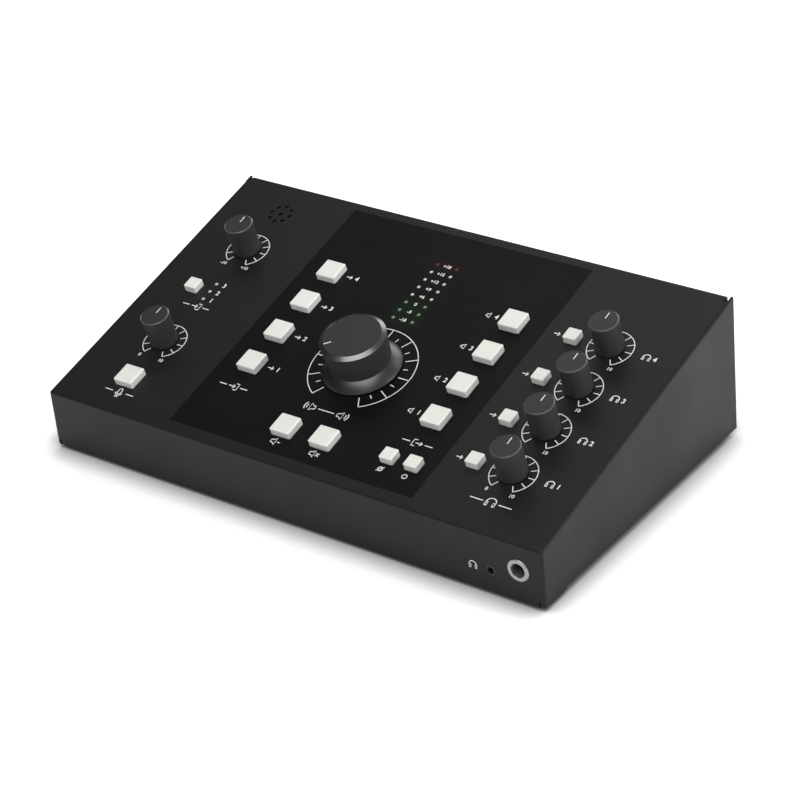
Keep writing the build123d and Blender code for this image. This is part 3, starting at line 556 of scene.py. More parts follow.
paint_over(lamp("lamp_red", (0.02, 0.003, 0.004), (0.075, 0.013, 0.02)), "meter_lamps_red")
paint_over(lamp("lamp_yellow", (0.09, 0.088, 0.075), (0.56, 0.55, 0.475)), "meter_lamps_yellow")
paint_over(lamp("lamp_green", (0.025, 0.05, 0.025), (0.155, 0.235, 0.155)), "meter_lamps_green")
paint_over(lamp("lamp_white", (0.09, 0.09, 0.085), (0.54, 0.54, 0.49), LEFT_COLUMN, SOURCE_LAMP_Y,
                SOURCE_LAMP_PITCH, both_sides=False), "source_lamps")

# %% [markdown]
# ## Metal, rubber and plain plastic parts
# The rest are everyday hardware finishes. Blackened screws show steel on the rims of their heads, the
# socket rings are satin nickel, the phono sleeves bright plating, and the feet dull rubber. Under the
# ring of talkback holes the microphone's metal can glints, and the front headphone socket has a tinned
# sleeve in its bore.

# %% Hardware
BARE_STEEL = (0.46, 0.45, 0.44)
MIC_PLACE = (LEFT_COLUMN, 145.8)
CAN_RADIUS = 4.85
FRONT_JACK = (127.3, 17.9)
SLEEVE_RADIUS = 3.4
JACK_PLASTIC = (0.013, 0.013, 0.013)
TINNED = (0.075, 0.073, 0.072)


def mic_can(tree):
    """1 on the microphone's metal can, 0 on the rubber boot round it."""
    across, up = along_panel(tree, *MIC_PLACE)[:2]
    return maths(tree, "LESS_THAN", distance(tree, across, up), CAN_RADIUS)


def mic_colour(tree):
    return mix(tree, mic_can(tree), (0.016, 0.016, 0.016), (0.55, 0.54, 0.52))


def front_jack_colour(tree):
    """Black plastic with a tinned sleeve inside the bore."""
    x, _, z = add(tree, "ShaderNodeSeparateXYZ", {0: own_coordinates(tree)}).outputs
    aside = maths(tree, "SUBTRACT", x, FRONT_JACK[0] * MM)
    above = maths(tree, "SUBTRACT", z, FRONT_JACK[1] * MM)
    sleeve = maths(tree, "LESS_THAN", distance(tree, aside, above), SLEEVE_RADIUS * MM)
    return mix(tree, sleeve, JACK_PLASTIC, TINNED)


paint_over(finish("foot_rubber", (0.012, 0.012, 0.012), 0.82, 0.3, 0.015, 0.4, speckle=0.05),
           "rubber_feet")
paint_over(finish("screw_black", (0.022, 0.021, 0.021), 0.42, 0.25, 0.004, 0.12,
                  worn=BARE_STEEL, wear=0.35, metallic=1.0), "case_screws")
paint_over(finish("spacer_steel", (0.52, 0.51, 0.49), 0.34, 0.2, 0.003, 0.1),
           "board_spacers", "board_screws")
paint_over(finish("switch_black", (0.014, 0.014, 0.015), 0.5, 0.2, 0.004, 0.12), "key_switches")
paint_over(finish("pot_metal", (0.50, 0.49, 0.46), 0.4, 0.25, 0.004, 0.15, metallic=1.0),
           "small_pots", "level_pot")
paint_over(finish("nut_black", (0.03, 0.03, 0.03), 0.4, 0.2, 0.003, 0.12,
                  worn=BARE_STEEL, metallic=1.0), "pot_nuts")
paint_over(finish("shaft_metal", (0.52, 0.51, 0.48), 0.36, 0.2, 0.003, 0.1, metallic=1.0),
           *[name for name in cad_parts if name.endswith("_shaft")])
paint_over(finish("mic_rubber", mic_colour, 0.5, 0.25, 0.01, 0.25, metallic=mic_can), "talkback_mic")
paint_over(finish("jack_black", JACK_PLASTIC, 0.42, 0.25, 0.005, 0.15), "line_jacks", "mini_jack")
paint_over(finish("jack_black_front", front_jack_colour, 0.34, 0.25, 0.005, 0.15), "headphone_jack")
paint_over(finish("jack_nut_steel", (0.345, 0.34, 0.345), 0.42, 0.15, 0.003, 0.14,
                  worn=(0.8, 0.8, 0.79), wear=0.5, metallic=1.0), "jack_nuts")
paint_over(finish("phono_plated", (0.66, 0.65, 0.62), 0.22, 0.3, 0.002, 0.12, metallic=1.0),
           "phono_sockets")
paint_over(finish("socket_black", (0.014, 0.014, 0.014), 0.46, 0.25, 0.006, 0.18),
           "optical_socket", "power_inlet", "power_switch")
paint_over(finish("rocker_black", (0.011, 0.011, 0.011), 0.3, 0.3, 0.004, 0.25), "power_rocker")

# %% [markdown]
# ## Boards and ribbon
# Nobody sees these until the cover is off or light falls through a slot, but they are still finished:
# green solder mask over a grid of copper tracks, and a grey ribbon with one red core to mark its edge.

# %% Inside
TRACK_PITCH = 2.54
CORE_PITCH = 1.27
RIBBON_HALF = 15.0


def board_colour(tree):
    across, up = along_panel(tree)[:2]
    feeds = {
        "Vector": vector(tree, across, up),
        "Scale": 1.0 / TRACK_PITCH,
        "Mortar Size": 0.06,
        "Brick Width": 3.0,
        "Row Height": 0.5,
    }
    tracks = add(tree, "ShaderNodeTexBrick", feeds).outputs["Fac"]
    return mix(tree, tracks, (0.012, 0.075, 0.032), (0.022, 0.125, 0.055))


def ribbon_colour(tree):
    across = along_panel(tree)[0]
    wave = maths(tree, "SINE", maths(tree, "MULTIPLY", across, tau / CORE_PITCH))
    cores = mix(tree, spread(tree, wave, 0.2, 0.8), (0.20, 0.20, 0.21), (0.34, 0.34, 0.35))
    marked = maths(tree, "GREATER_THAN", across, RIBBON_HALF - CORE_PITCH)
    return mix(tree, marked, cores, (0.35, 0.03, 0.03))


paint_over(finish("board_green", board_colour, 0.35, 0.4, 0.004, 0.1),
           "panel_board", "rear_board", "phones_board")
paint_over(finish("ribbon_grey", ribbon_colour, 0.5, 0.4, 0.006, 0.1), "ribbon_cable")

# %% [markdown]
# ## Ink on the panel
# White ink is screen-printed through a mesh, so every line has the same thickness and very slightly
# uneven cover. We print with thin solids, three hundredths of a millimetre high, that lie on the
# paint. All lines and numbers of one area become one piece.

# %% White ink
INK_HEIGHT = 0.03
INK_ABOVE = Matrix.Translation((0, 0, INK_HEIGHT / 2))
white_ink = finish("white_ink", chip(236, 236, 233), 0.5, 0.18, 0.003, 0.02, speckle=0.05)
pointer_ink = finish("pointer_ink", chip(232, 232, 228), 0.45, 0.2, 0.004, 0.06, speckle=0.04)


def assemble(name, drawings, material, body):
    """Join drawings, each with its place, into one piece that rides on a body."""
    whole = bmesh.new()
    for mesh, place in drawings:
        mesh.transform(place)
        whole.from_mesh(mesh)
        bpy.data.meshes.remove(mesh)
    bmesh.ops.recalc_face_normals(whole, faces=whole.faces)
    mesh = bpy.data.meshes.new(name)
    whole.to_mesh(mesh)
    whole.free()
    for face in mesh.polygons:
        face.material_index = 0
    mesh.materials.append(material)
    piece = bpy.data.objects.new(name, mesh)
    bpy.context.scene.collection.objects.link(piece)
    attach(piece, body)
    print(name, "has", len(mesh.polygons), "faces")


def print_on_case(name, drawings):
    assemble(name, drawings, white_ink, "case")


# %% [markdown]
# ## Dial scales from a rule
# A dial scale is a rule rather than a drawing: an arc of 300 degrees, a long tick every thirtieth
# degree, and on the large dial a short tick between each two. That is work for Geometry Nodes. The
# tree below bends a flat section along an arc and repeats one tick round the centre; each dial then
# only needs its sizes. The result is kept as a plain mesh.

# %% The dial scale tree
def geometry_tree(name, inputs):
    tree = bpy.data.node_groups.new(name, "GeometryNodeTree")
    tree.interface.new_socket("Geometry", in_out="OUTPUT", socket_type="NodeSocketGeometry")
    for label, kind in inputs:
        tree.interface.new_socket(label, in_out="INPUT", socket_type=f"NodeSocket{kind}")
    return tree, add(tree, "NodeGroupInput").outputs, add(tree, "NodeGroupOutput").inputs


def ribbon_along(tree, curve, width, height):
    """A flat bar of ink bent along a curve."""
    feeds = {"Width": width, "Height": height}
    section = add(tree, "GeometryNodeCurvePrimitiveQuadrilateral", feeds, mode="RECTANGLE").outputs[0]
    upright = add(tree, "GeometryNodeSetCurveNormal", {"Curve": curve}, mode="Z_UP").outputs[0]
    feeds = {"Curve": upright, "Profile Curve": section, "Fill Caps": True}
    return add(tree, "GeometryNodeCurveToMesh", feeds).outputs[0]


def ticks_round(tree, given, start, end, count, first, step):
    """Copies of one tick, turned clockwise about the centre by equal steps."""
    length = maths(tree, "SUBTRACT", end, start)
    middle = maths(tree, "MULTIPLY", maths(tree, "ADD", end, start), 0.5)
    size = vector(tree, given["Line width"], length, given["Ink height"])
    bar = add(tree, "GeometryNodeMeshCube", {"Size": size}).outputs[0]
    feeds = {"Geometry": bar, "Translation": vector(tree, y=middle)}
    tick = add(tree, "GeometryNodeTransform", feeds).outputs[0]
    index = add(tree, "GeometryNodeInputIndex").outputs[0]
    angle = maths(tree, "SUBTRACT", first, maths(tree, "MULTIPLY", index, step))
    turn = add(tree, "FunctionNodeEulerToRotation", {0: vector(tree, z=angle)}).outputs[0]
    points = add(tree, "GeometryNodePoints", {"Count": count}).outputs[0]
    feeds = {"Points": points, "Instance": tick, "Rotation": turn}
    return add(tree, "GeometryNodeInstanceOnPoints", feeds).outputs[0]


def finish_tree(tree, made, ink, *parts):
    joined = add(tree, "GeometryNodeJoinGeometry")
    for part in parts:
        tree.links.new(part, joined.inputs[0])
    real = add(tree, "GeometryNodeRealizeInstances", {0: joined.outputs[0]}).outputs[0]
    inked = add(tree, "GeometryNodeSetMaterial", {"Geometry": real, "Material": ink}).outputs[0]
    feed(tree, made[0], inked)


def dial_scale_tree():
    sizes = ("Ring radius", "Line width", "Ink height", "Sweep",
             "Long tick start", "Short tick start", "Short tick end")
    inputs = [(label, "Float") for label in sizes]
    inputs += [("Long ticks", "Int"), ("Short ticks", "Int"), ("Ink", "Material")]
    tree, given, made = geometry_tree("dial_scale", inputs)
    half = maths(tree, "MULTIPLY", given["Sweep"], 0.5)
    gaps = maths(tree, "SUBTRACT", given["Long ticks"], 1.0)
    step = maths(tree, "DIVIDE", given["Sweep"], gaps)
    feeds = {
        "Resolution": 91,
        "Radius": given["Ring radius"],
        "Start Angle": maths(tree, "SUBTRACT", radians(90), half),
        "Sweep Angle": given["Sweep"],
    }
    arc = add(tree, "GeometryNodeCurveArc", feeds).outputs[0]
    ring = ribbon_along(tree, arc, given["Line width"], given["Ink height"])
    long_ticks = ticks_round(tree, given, given["Long tick start"], given["Ring radius"],
                             given["Long ticks"], half, step)
    between = maths(tree, "SUBTRACT", half, maths(tree, "MULTIPLY", step, 0.5))
    short_ticks = ticks_round(tree, given, given["Short tick start"], given["Short tick end"],
                              given["Short ticks"], between, step)
    finish_tree(tree, made, given["Ink"], ring, long_ticks, short_ticks)
    return tree


def grow(tree, values, drawing=None):
    """Run a Geometry Nodes tree on an object of its own and keep what it makes as a plain mesh."""
    host = bpy.data.objects.new(tree.name, drawing or bpy.data.meshes.new(tree.name))
    bpy.context.scene.collection.objects.link(host)
    modifier = host.modifiers.new(tree.name, "NODES")
    modifier.node_group = tree
    for item in tree.interface.items_tree:
        if item.in_out == "INPUT" and item.name in values:
            modifier[item.identifier] = values[item.name]
    evaluated = host.evaluated_get(bpy.context.evaluated_depsgraph_get())
    mesh = bpy.data.meshes.new_from_object(evaluated)
    bpy.data.objects.remove(host)
    return mesh


dial_scale = dial_scale_tree()
print("dial scale tree has", len(dial_scale.nodes), "nodes")

# %% [markdown]
# Now the seven scales. The small dials share one set of sizes and have eleven ticks. The large dial
# counts more finely, so it asks the same tree for ten short ticks as well.

# %% Print the scales
every_scale = {
    "Line width": 0.46,
    "Ink height": INK_HEIGHT,
    "Sweep": radians(300),
    "Long ticks": 11,
    "Ink": white_ink,
}
small_scale = every_scale | {"Ring radius": 11.0, "Long tick start": 7.6, "Short ticks": 0}
level_scale = every_scale | {
    "Ring radius": 26.2,
    "Long tick start": 20.2,
    "Short tick start": 20.2,
    "Short tick end": 22.5,
    "Short ticks": 10,
}
scales = [(small_scale, place) for place in DIAL_PLACES.values()] + [(level_scale, LEVEL_PLACE)]
print_on_case("dial_scales", [
    (grow(dial_scale, sizes), spot(panel_frame, *place) @ INK_ABOVE) for sizes, place in scales
])

# %% [markdown]
# ## Numbers
# Plain numbers mark the ends of each dial, the steps of the meter and the order of keys and sockets.
# They start as text, get the ink's thickness, and become a mesh before they are put in place.

# %% Print the numbers
DIGIT_SHARE = 0.7
STROKE_SWELL = 0.028


def number(text, height):
    """A plain number as a thin mesh about its own centre, its digits height millimetres tall."""
    curve = bpy.data.curves.new("number", "FONT")
    curve.body = text
    curve.size = height / DIGIT_SHARE
    curve.offset = STROKE_SWELL * height
    curve.extrude = INK_HEIGHT / 2
    curve.resolution_u = 3
    curve.align_x, curve.align_y = "CENTER", "CENTER"
    host = bpy.data.objects.new("number", curve)
    bpy.context.scene.collection.objects.link(host)
    mesh = bpy.data.meshes.new_from_object(host.evaluated_get(bpy.context.evaluated_depsgraph_get()))
    bpy.data.objects.remove(host)
    bpy.data.curves.remove(curve)
    return mesh


def numbers_on(drawing_frame, height, places):
    return [(number(text, height), spot(drawing_frame, x, y) @ INK_ABOVE) for text, x, y in places]


END_OFFSET = 6.5
END_DROP = 12.0
dial_ends = []
for name, (x, y) in DIAL_PLACES.items():
    low, high = ("-10", "+10") if name == "trim" else ("0", "10")
    dial_ends += [(low, x - END_OFFSET, y - END_DROP), (high, x + END_OFFSET, y - END_DROP)]

METER_STEPS = ("+18", "+15", "+12", "+9", "+6", "0", "-9", "-18")
meter_steps = [(text, 0.0, METER_Y - METER_PITCH * row) for row, text in enumerate(METER_STEPS)]

KEY_ROWS = [51.8 + 22.0 * row for row in range(4)]
INPUT_NUMBER_X, OUTPUT_NUMBER_X, PHONES_NUMBER_X, SOURCE_NUMBER_X = -38.2, 42.4, 127.0, -100.4
key_numbers = []
for row in range(4):
    order = str(row + 1)
    key_numbers += [(order, INPUT_NUMBER_X, KEY_ROWS[row]), (order, OUTPUT_NUMBER_X, KEY_ROWS[row])]
    key_numbers.append((order, PHONES_NUMBER_X, PHONES_ROWS[row]))
for row in range(3):
    key_numbers.append((str(3 - row), SOURCE_NUMBER_X, SOURCE_LAMP_Y - SOURCE_LAMP_PITCH * row))

print_on_case("dial_numbers", numbers_on(panel_frame, 1.9, dial_ends))
print_on_case("meter_numbers", numbers_on(panel_frame, 1.95, meter_steps))
print_on_case("key_numbers", numbers_on(panel_frame, 2.7, key_numbers))

# %% [markdown]
# ## Pictograms
# Beside the numbers the panel has plain signs: headphones, a microphone, loudspeakers, arrows for in
# and out, a ring, and a struck ring for the polarity key. Each is a few strokes, written as points in
# millimetres about the sign's middle, so a sign can be scaled, moved or flipped for another place.

# %% Draw the signs
def arc(radius, first, last, x=0.0, y=0.0, steps=10):
    """Points on an arc, angles in degrees anticlockwise from the right."""
    angles = [radians(first + (last - first) * i / steps) for i in range(steps + 1)]
    return [(x + radius * cos(angle), y + radius * sin(angle)) for angle in angles]


def flipped(strokes):
    return [[(-x, y) for x, y in stroke] for stroke in strokes]


def moved(strokes, aside):
    return [[(x + aside, y) for x, y in stroke] for stroke in strokes]


def scaled(strokes, factor):
    return [[(factor * x, factor * y) for x, y in stroke] for stroke in strokes]


CUP = [(-1.9, -1.5), (-1.1, -1.5), (-1.1, 0.1), (-1.9, 0.1), (-1.9, -1.5)]
HEADPHONES = [arc(1.9, 0, 180, y=0.1), CUP] + flipped([CUP])
CAPSULE = arc(0.75, 0, 180, y=1.0, steps=6) + arc(0.75, 180, 360, y=-0.2, steps=6) + [(0.75, 1.0)]
MICROPHONE = [CAPSULE, arc(1.4, 180, 360, y=-0.2), [(0, -1.6), (0, -2.3)], [(-0.8, -2.3), (0.8, -2.3)]]
CONE = [[(-1.9, -0.7), (-1.0, -0.7), (0.1, -1.6), (0.1, 1.6), (-1.0, 0.7), (-1.9, 0.7), (-1.9, -0.7)]]
LOUDSPEAKER = CONE + [arc(1.3, -40, 40, x=0.1, steps=5), arc(2.2, -42, 42, x=0.1, steps=7)]
CROSS = [[(0.8, -0.8), (2.2, 0.8)], [(0.8, 0.8), (2.2, -0.8)]]
MINUS = [[(0.8, 0.0), (2.1, 0.0)]]
ARROW = [[(-2.0, 0.0), (0.7, 0.0)], [(-0.2, 0.8), (0.7, 0.0), (-0.2, -0.8)]]
BRACKET = [[(0.5, 1.5), (1.9, 1.5), (1.9, -1.5), (0.5, -1.5)]]
SIGN_IN = ARROW + BRACKET
SIGN_OUT = flipped(BRACKET) + moved(ARROW, 1.3)
CIRCLE = [arc(0.95, 0, 360, steps=14)]
POLARITY = CIRCLE + [[(-1.2, -1.2), (1.2, 1.2)]]
SMALL_ARROW = [[(-1.7, 0.0), (1.5, 0.0)], [(0.4, 1.0), (1.5, 0.0), (0.4, -1.0)]]
print("the headphones sign has", len(HEADPHONES), "strokes")

# %% [markdown]
# The strokes are only thin lines so far. A second small tree gives every one of them the ink's width
# and thickness, with the same flat section that the arcs of the dials have.

# %% Turn strokes into ink
SIGN_LINE = 0.52


def stroke_tree():
    inputs = [("Drawing", "Geometry"), ("Line width", "Float"), ("Ink height", "Float")]
    inputs.append(("Ink", "Material"))
    tree, given, made = geometry_tree("printed_strokes", inputs)
    curves = add(tree, "GeometryNodeMeshToCurve", {"Mesh": given["Drawing"]}).outputs[0]
    lines = ribbon_along(tree, curves, given["Line width"], given["Ink height"])
    finish_tree(tree, made, given["Ink"], lines)
    return tree


printed_strokes = stroke_tree()


def sign(strokes):
    """Strokes as a mesh of printed lines."""
    points, edges = [], []
    for stroke in strokes:
        edges += [(len(points) + i, len(points) + i + 1) for i in range(len(stroke) - 1)]
        points += [(x, y, 0.0) for x, y in stroke]
    drawing = bpy.data.meshes.new("strokes")
    drawing.from_pydata(points, edges, [])
    values = {"Line width": SIGN_LINE, "Ink height": INK_HEIGHT, "Ink": white_ink}
    return grow(printed_strokes, values, drawing)


def signs_on(drawing_frame, places):
    return [(sign(strokes), spot(drawing_frame, x, y) @ INK_ABOVE) for strokes, x, y in places]


print("stroke tree has", len(printed_strokes.nodes), "nodes")

# %% [markdown]
# Now the signs go to their places on the panel. A heading is a sign between two thin rules, below the
# group that it names. Each row of keys and headphone dials has its own small signs, which a loop
# repeats up the panel. One more pair of headphones marks the sockets on the front face.

# %% Print the signs
HEADING_SIZE = 1.3
KEY_SIGN_SIZE = 1.25
MONITOR_SIZE = 1.4


def heading(strokes, half_width, gap=4.0):
    """A sign between two rules that reach out to half_width."""
    rules = [[(-half_width, 0.0), (-gap, 0.0)], [(gap, 0.0), (half_width, 0.0)]]
    return scaled(strokes, HEADING_SIZE) + rules


monitor = scaled(LOUDSPEAKER, MONITOR_SIZE)
monitor_pair = moved(flipped(monitor), -9.0) + moved(monitor, 9.0) + [[(-4.5, 0.0), (4.5, 0.0)]]
panel_signs = [
    (heading(SIGN_IN, 8.2), -52.6, 35.3),
    (heading(SIGN_OUT, 8.2), 52.6, 35.3),
    (monitor_pair, 0.3, 37.3),
    (scaled(CONE + MINUS, KEY_SIGN_SIZE), -11.2, 12.6),
    (scaled(CONE + CROSS, KEY_SIGN_SIZE), 10.8, 12.6),
    (scaled(POLARITY, KEY_SIGN_SIZE), 45.4, 15.9),
    (scaled(CIRCLE, KEY_SIGN_SIZE), 58.6, 15.9),
    (heading(HEADPHONES, 10.8), 103.8, 16.6),
    (heading(MICROPHONE, 8.6), -104.8, 12.2),
    (heading(SIGN_IN, 8.0), -105.6, 74.6),
]
for key_row, phones_row in zip(KEY_ROWS, PHONES_ROWS):
    panel_signs += [(SMALL_ARROW, -42.4, key_row), (moved(CONE, 0.9), 37.8, key_row)]
    panel_signs += [(HEADPHONES, 122.6, phones_row), (SMALL_ARROW, 75.6, phones_row)]
print_on_case("panel_signs", signs_on(panel_frame, panel_signs))
print_on_case("front_sign", signs_on(front_frame, [(HEADPHONES, 103.6, 12.9)]))

# %% [markdown]
# ## Legends on the rear wall
# The rear wall numbers its sockets and has an arrow out at the end of the upper row and an arrow in at
# the end of the lower one. The power inlet has the sign for direct current. The places are counted as
# one sees the wall from behind, and the numbers start at its right end.

# %% Print the rear wall
JACK_COLUMNS = [120.0 - 20.0 * column for column in range(9)]
INNER_PHONO, OUTER_PHONO, INLET = -62.0, -82.0, -104.0
UPPER_ROW, LOWER_ROW = 43.0, 20.0
LEGEND_RISE = 9.2
UPPER_LEGENDS, LOWER_LEGENDS = UPPER_ROW + LEGEND_RISE, LOWER_ROW + LEGEND_RISE
ROW_END = 131.2
DASHES = [[(start, -0.5), (start + 0.9, -0.5)] for start in (-1.8, -0.45, 0.9)]
DIRECT_CURRENT = [[(-1.8, 0.7), (1.8, 0.7)]] + DASHES
rear_numbers = [(str(i + 1), x, UPPER_LEGENDS) for i, x in enumerate(JACK_COLUMNS)]
rear_numbers += [(str(i + 10), x, LOWER_LEGENDS) for i, x in enumerate(JACK_COLUMNS)]
rear_numbers += [("1", INNER_PHONO, UPPER_LEGENDS), ("2", INNER_PHONO, LOWER_LEGENDS),
                 ("3", OUTER_PHONO, LOWER_LEGENDS), ("4", OUTER_PHONO, UPPER_LEGENDS)]
rear_signs = [(SIGN_OUT, ROW_END, UPPER_ROW), (SIGN_IN, ROW_END, LOWER_ROW),
              (DIRECT_CURRENT, INLET, LOWER_LEGENDS)]
print_on_case("rear_numbers", numbers_on(rear_frame, 2.2, rear_numbers))
print_on_case("rear_signs", signs_on(rear_frame, rear_signs))

# %% [markdown]
# The power switch has a stroke for on and a ring for off. They are printed on the two slopes of the
# rocker itself, so they tip with it. At rest the rocker is tilted about its pivot, and each mark is
# first laid on its slope and then tilted along with the rocker.

# %% Print the rocker
ROCKER_PLACE = (-122.0, 31.5)
ROCKER_PIVOT = -1.5
ROCKER_TILT = 8.0
PAD_SLOPE = degrees(atan2(2.1, 6.7))
PAD_MIDDLE, PAD_HEIGHT = 4.4, 2.88
ON_STROKE = [[(0, -1.2), (0, 1.2)]]
to_pivot = Matrix.Translation((0, 0, ROCKER_PIVOT))
tilt = Matrix.Rotation(radians(ROCKER_TILT), 4, "X")
rocker = spot(rear_frame, *ROCKER_PLACE) @ to_pivot @ tilt @ to_pivot.inverted()
pad_marks = []
for strokes, side in ((ON_STROKE, 1), (CIRCLE, -1)):
    slope = Matrix.Rotation(radians(side * PAD_SLOPE), 4, "X")
    pad = Matrix.Translation((0, side * PAD_MIDDLE, PAD_HEIGHT)) @ slope
    pad_marks.append((sign(strokes), rocker @ pad @ INK_ABOVE))
assemble("rocker_marks", pad_marks, white_ink, "power_toggle")

# %% [markdown]
# ## Pointers
# A white line is set into the top of every knob. It fills the groove that is already cut there and
# stays a hair below the surface, so it has its own bevelled bar of ink that turns with the dial. The
# small dials point straight up the panel, and the level dial points to the lower left.

# %% Set the pointers
SMALL_POINTER = {"width": 0.5, "inner": 1.35, "outer": 5.35, "foot": 16.87, "top": 17.06}
LEVEL_POINTER = {"width": 0.55, "inner": 9.85, "outer": 13.55, "foot": 19.77, "top": 19.97}
LEVEL_TURN = 133.0
POINTER_BEVEL = 0.05


def pointer(width, inner, outer, foot, top):
    """A slim bar with softened upper edges, from one distance off the dial's axis to another."""
    rings = ((foot, 0.0), (top - POINTER_BEVEL, 0.0), (top, POINTER_BEVEL))
    points, faces = [], []
    for height, inset in rings:
        half, near, far = width / 2 - inset, inner + inset, outer - inset
        points += [(-half, near, height), (half, near, height), (half, far, height), (-half, far, height)]
    for ring in range(len(rings) - 1):
        for side in range(4):
            a, b = ring * 4 + side, ring * 4 + (side + 1) % 4
            faces.append((a, b, b + 4, a + 4))
    faces += [(3, 2, 1, 0), (8, 9, 10, 11)]
    mesh = bpy.data.meshes.new("pointer")
    mesh.from_pydata(points, [], faces)
    return mesh


def set_pointer(dial, sizes, place, turn=0.0):
    drawing = (pointer(**sizes), spot(panel_frame, *place, turn))
    assemble(f"{dial}_pointer", [drawing], pointer_ink, f"{dial}_dial")


for name, place in DIAL_PLACES.items():
    set_pointer(name, SMALL_POINTER, place)
set_pointer("level", LEVEL_POINTER, LEVEL_PLACE, LEVEL_TURN)

# %% [markdown]
# ## Floor
# The controller stands on a white table. The floor is a pale matt disc that also glows a little towards
# the camera and in reflections, more so far out where the lamps fade, so it reads as plain white. Near
# the case less light can reach it, and the ambient occlusion node measures how much less; by that
# measure the floor's colour and glow are painted darker, a painted shadow laid over the cast one. It is
# asked twice: within a centimetre or so, for the soft dark line under the edge of the box, and within
# six, for the faint cloud round it. Both look a little to the right, where most of the light comes
# from, so the painted shadow is deeper on the left.

# %% Floor
FLOOR_RADIUS = 8.0
CASE_GLOW, CASE_GLOW_ENDS = 0.55, 0.8
FAR_GLOW, FAR_GLOW_BEGINS = 0.85, 2.0
CONTACT_REACH, CONTACT_DEPTH = 0.013, 1.4
CLOUD_REACH, CLOUD_DEPTH = 0.06, 0.6
SKY_SIDE = (0.23, 0.0, 0.97)
PAINTED_SHADOW_GREY, PALE_GREY, PALEST_GREY = (0.12, 0.12, 0.12), (0.80, 0.80, 0.80), (0.83, 0.83, 0.83)


def open_sky(tree, reach, depth):
    """1 where nothing stands within reach of the floor, less where light is kept out."""
    feeds = {"Distance": reach, "Normal": vector(tree, *SKY_SIDE)}
    sky = add(tree, "ShaderNodeAmbientOcclusion", feeds, samples=16).outputs["AO"]
    return maths(tree, "POWER", sky, depth)


def floor_glow(tree):
    """What the floor adds where a camera or mirror ray meets it, and nothing for other rays."""
    path = add(tree, "ShaderNodeLightPath").outputs
    seen = maths(tree, "MAXIMUM", path["Is Camera Ray"], path["Is Glossy Ray"])
    seen = maths(tree, "MAXIMUM", seen, path["Is Transmission Ray"])
    away = add(tree, "ShaderNodeVectorMath", {0: own_coordinates(tree)}, operation="LENGTH")
    ranges = {
        "Value": away.outputs["Value"],
        "From Min": CASE_GLOW_ENDS,
        "From Max": FAR_GLOW_BEGINS,
        "To Min": CASE_GLOW,
        "To Max": FAR_GLOW,
    }
    return maths(tree, "MULTIPLY", seen, add(tree, "ShaderNodeMapRange", ranges).outputs[0])


def floor_finish():
    material = bpy.data.materials.new("studio_floor")
    material.use_nodes = True
    tree = material.node_tree
    tree.nodes.clear()
    contact = open_sky(tree, CONTACT_REACH, CONTACT_DEPTH)
    reached = maths(tree, "MULTIPLY", contact, open_sky(tree, CLOUD_REACH, CLOUD_DEPTH))
    clouded = mix(tree, noise(tree, own_coordinates(tree), 4.0, 3.0), PALE_GREY, PALEST_GREY)
    # Painted shadow: the floor's colour darkens to grey where the ambient occlusion finds the case near.
    colour = mix(tree, reached, PAINTED_SHADOW_GREY, clouded)
    matt = add(tree, "ShaderNodeBsdfDiffuse", {"Color": colour}).outputs[0]
    # The glow is dimmed by the same measure, as part of the painted shadow.
    strength = maths(tree, "MULTIPLY", floor_glow(tree), reached)
    glow = add(tree, "ShaderNodeEmission", {"Strength": strength}).outputs[0]
    both = add(tree, "ShaderNodeAddShader", {0: matt, 1: glow}).outputs[0]
    add(tree, "ShaderNodeOutputMaterial", {"Surface": both})
    return material


disc = bmesh.new()
bmesh.ops.create_circle(disc, cap_ends=True, segments=128, radius=FLOOR_RADIUS)
floor_mesh = bpy.data.meshes.new("studio_floor")
disc.to_mesh(floor_mesh)
disc.free()
floor_mesh.materials.append(floor_finish())
floor = bpy.data.objects.new("studio_floor", floor_mesh)
bpy.context.scene.collection.objects.link(floor)
print("floor disc of", FLOOR_RADIUS, "m radius")

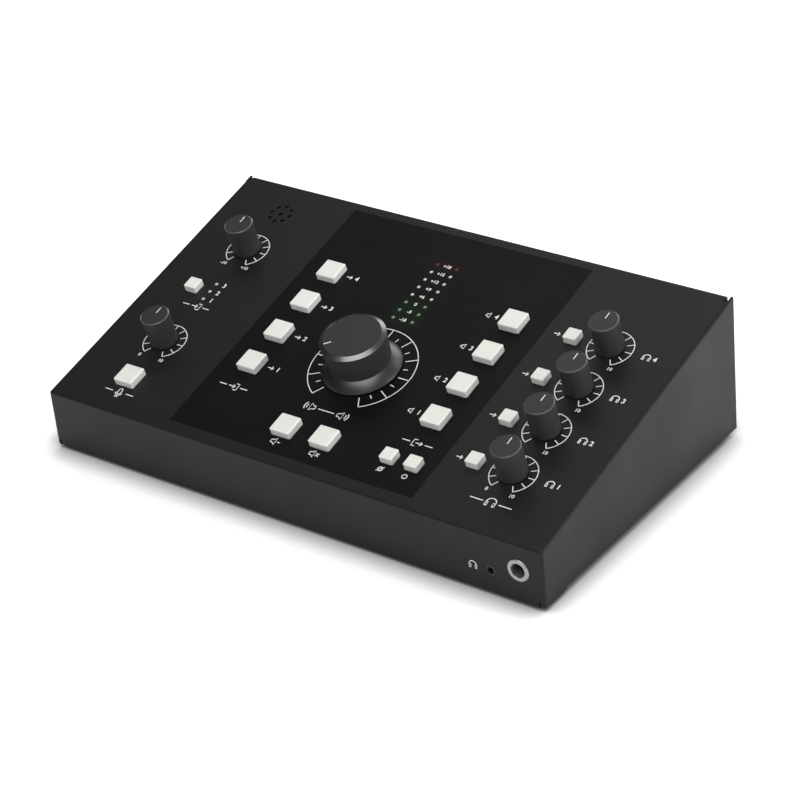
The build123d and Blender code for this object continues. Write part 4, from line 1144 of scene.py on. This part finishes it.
# %% [markdown]
# ## Light
# The room is brighter on the right than on the left, so the left flanks of shiny parts stay dark. A
# very large soft box, high in front, lights the key caps and the whole table evenly, and one low on the
# right fills the shadow on that side. Three more are there for what the metal mirrors: the one in front
# draws a bright arc on the near side of every knob, the one low at the back draws the arc on the far
# side, and the one that stands like a window, far back on the right, lights the flared skirt of the
# large knob. A small one hangs close behind the left rear corner. The sloping panel mirrors it faintly,
# more at its right end than at its left.

# %% Room and soft boxes
ROOM_LIGHT = 0.26
ROOM_SWING = 0.26
ROOM_TILT = (0.85, 0.1, 0.5)


def light_room():
    world = bpy.data.worlds.new("studio_room")
    bpy.context.scene.world = world
    world.use_nodes = True
    tree = world.node_tree
    tree.nodes.clear()
    towards = dot(tree, add(tree, "ShaderNodeTexCoord").outputs["Generated"], ROOM_TILT)
    level = maths(tree, "ADD", maths(tree, "MULTIPLY", towards, ROOM_SWING), ROOM_LIGHT)
    background = add(tree, "ShaderNodeBackground", {"Strength": level})
    add(tree, "ShaderNodeOutputWorld", {"Surface": background.outputs[0]})


def soft_box(name, place, width, height, power):
    """A rectangular lamp that faces the middle of the floor."""
    lamp_data = bpy.data.lights.new(name, "AREA")
    lamp_data.shape = "RECTANGLE"
    lamp_data.size, lamp_data.size_y, lamp_data.energy = width, height, power
    box = bpy.data.objects.new(name, lamp_data)
    box.location = place
    box.rotation_euler = Vector(place).to_track_quat("Z", "Y").to_euler()
    bpy.context.scene.collection.objects.link(box)
    print(name, "at", place, "gives", power, "watts")


light_room()
soft_box("top_soft_box", (0.2, -1.0, 2.1), 2.0, 1.7, 37.0)
soft_box("right_soft_box", (1.95, 0.5, 0.5), 1.2, 0.8, 15.0)
soft_box("front_soft_box", (0.7, -1.6, 1.2), 1.0, 0.7, 1.2)
soft_box("back_soft_box", (-0.28, 2.0, 0.85), 1.2, 1.1, 14.0)
soft_box("window_soft_box", (0.8, 1.45, 1.1), 0.8, 0.6, 3.0)
soft_box("corner_soft_box", (-0.28, 0.42, 0.72), 0.5, 0.4, 0.7)

bpy.context.scene.view_settings.view_transform = "Standard"
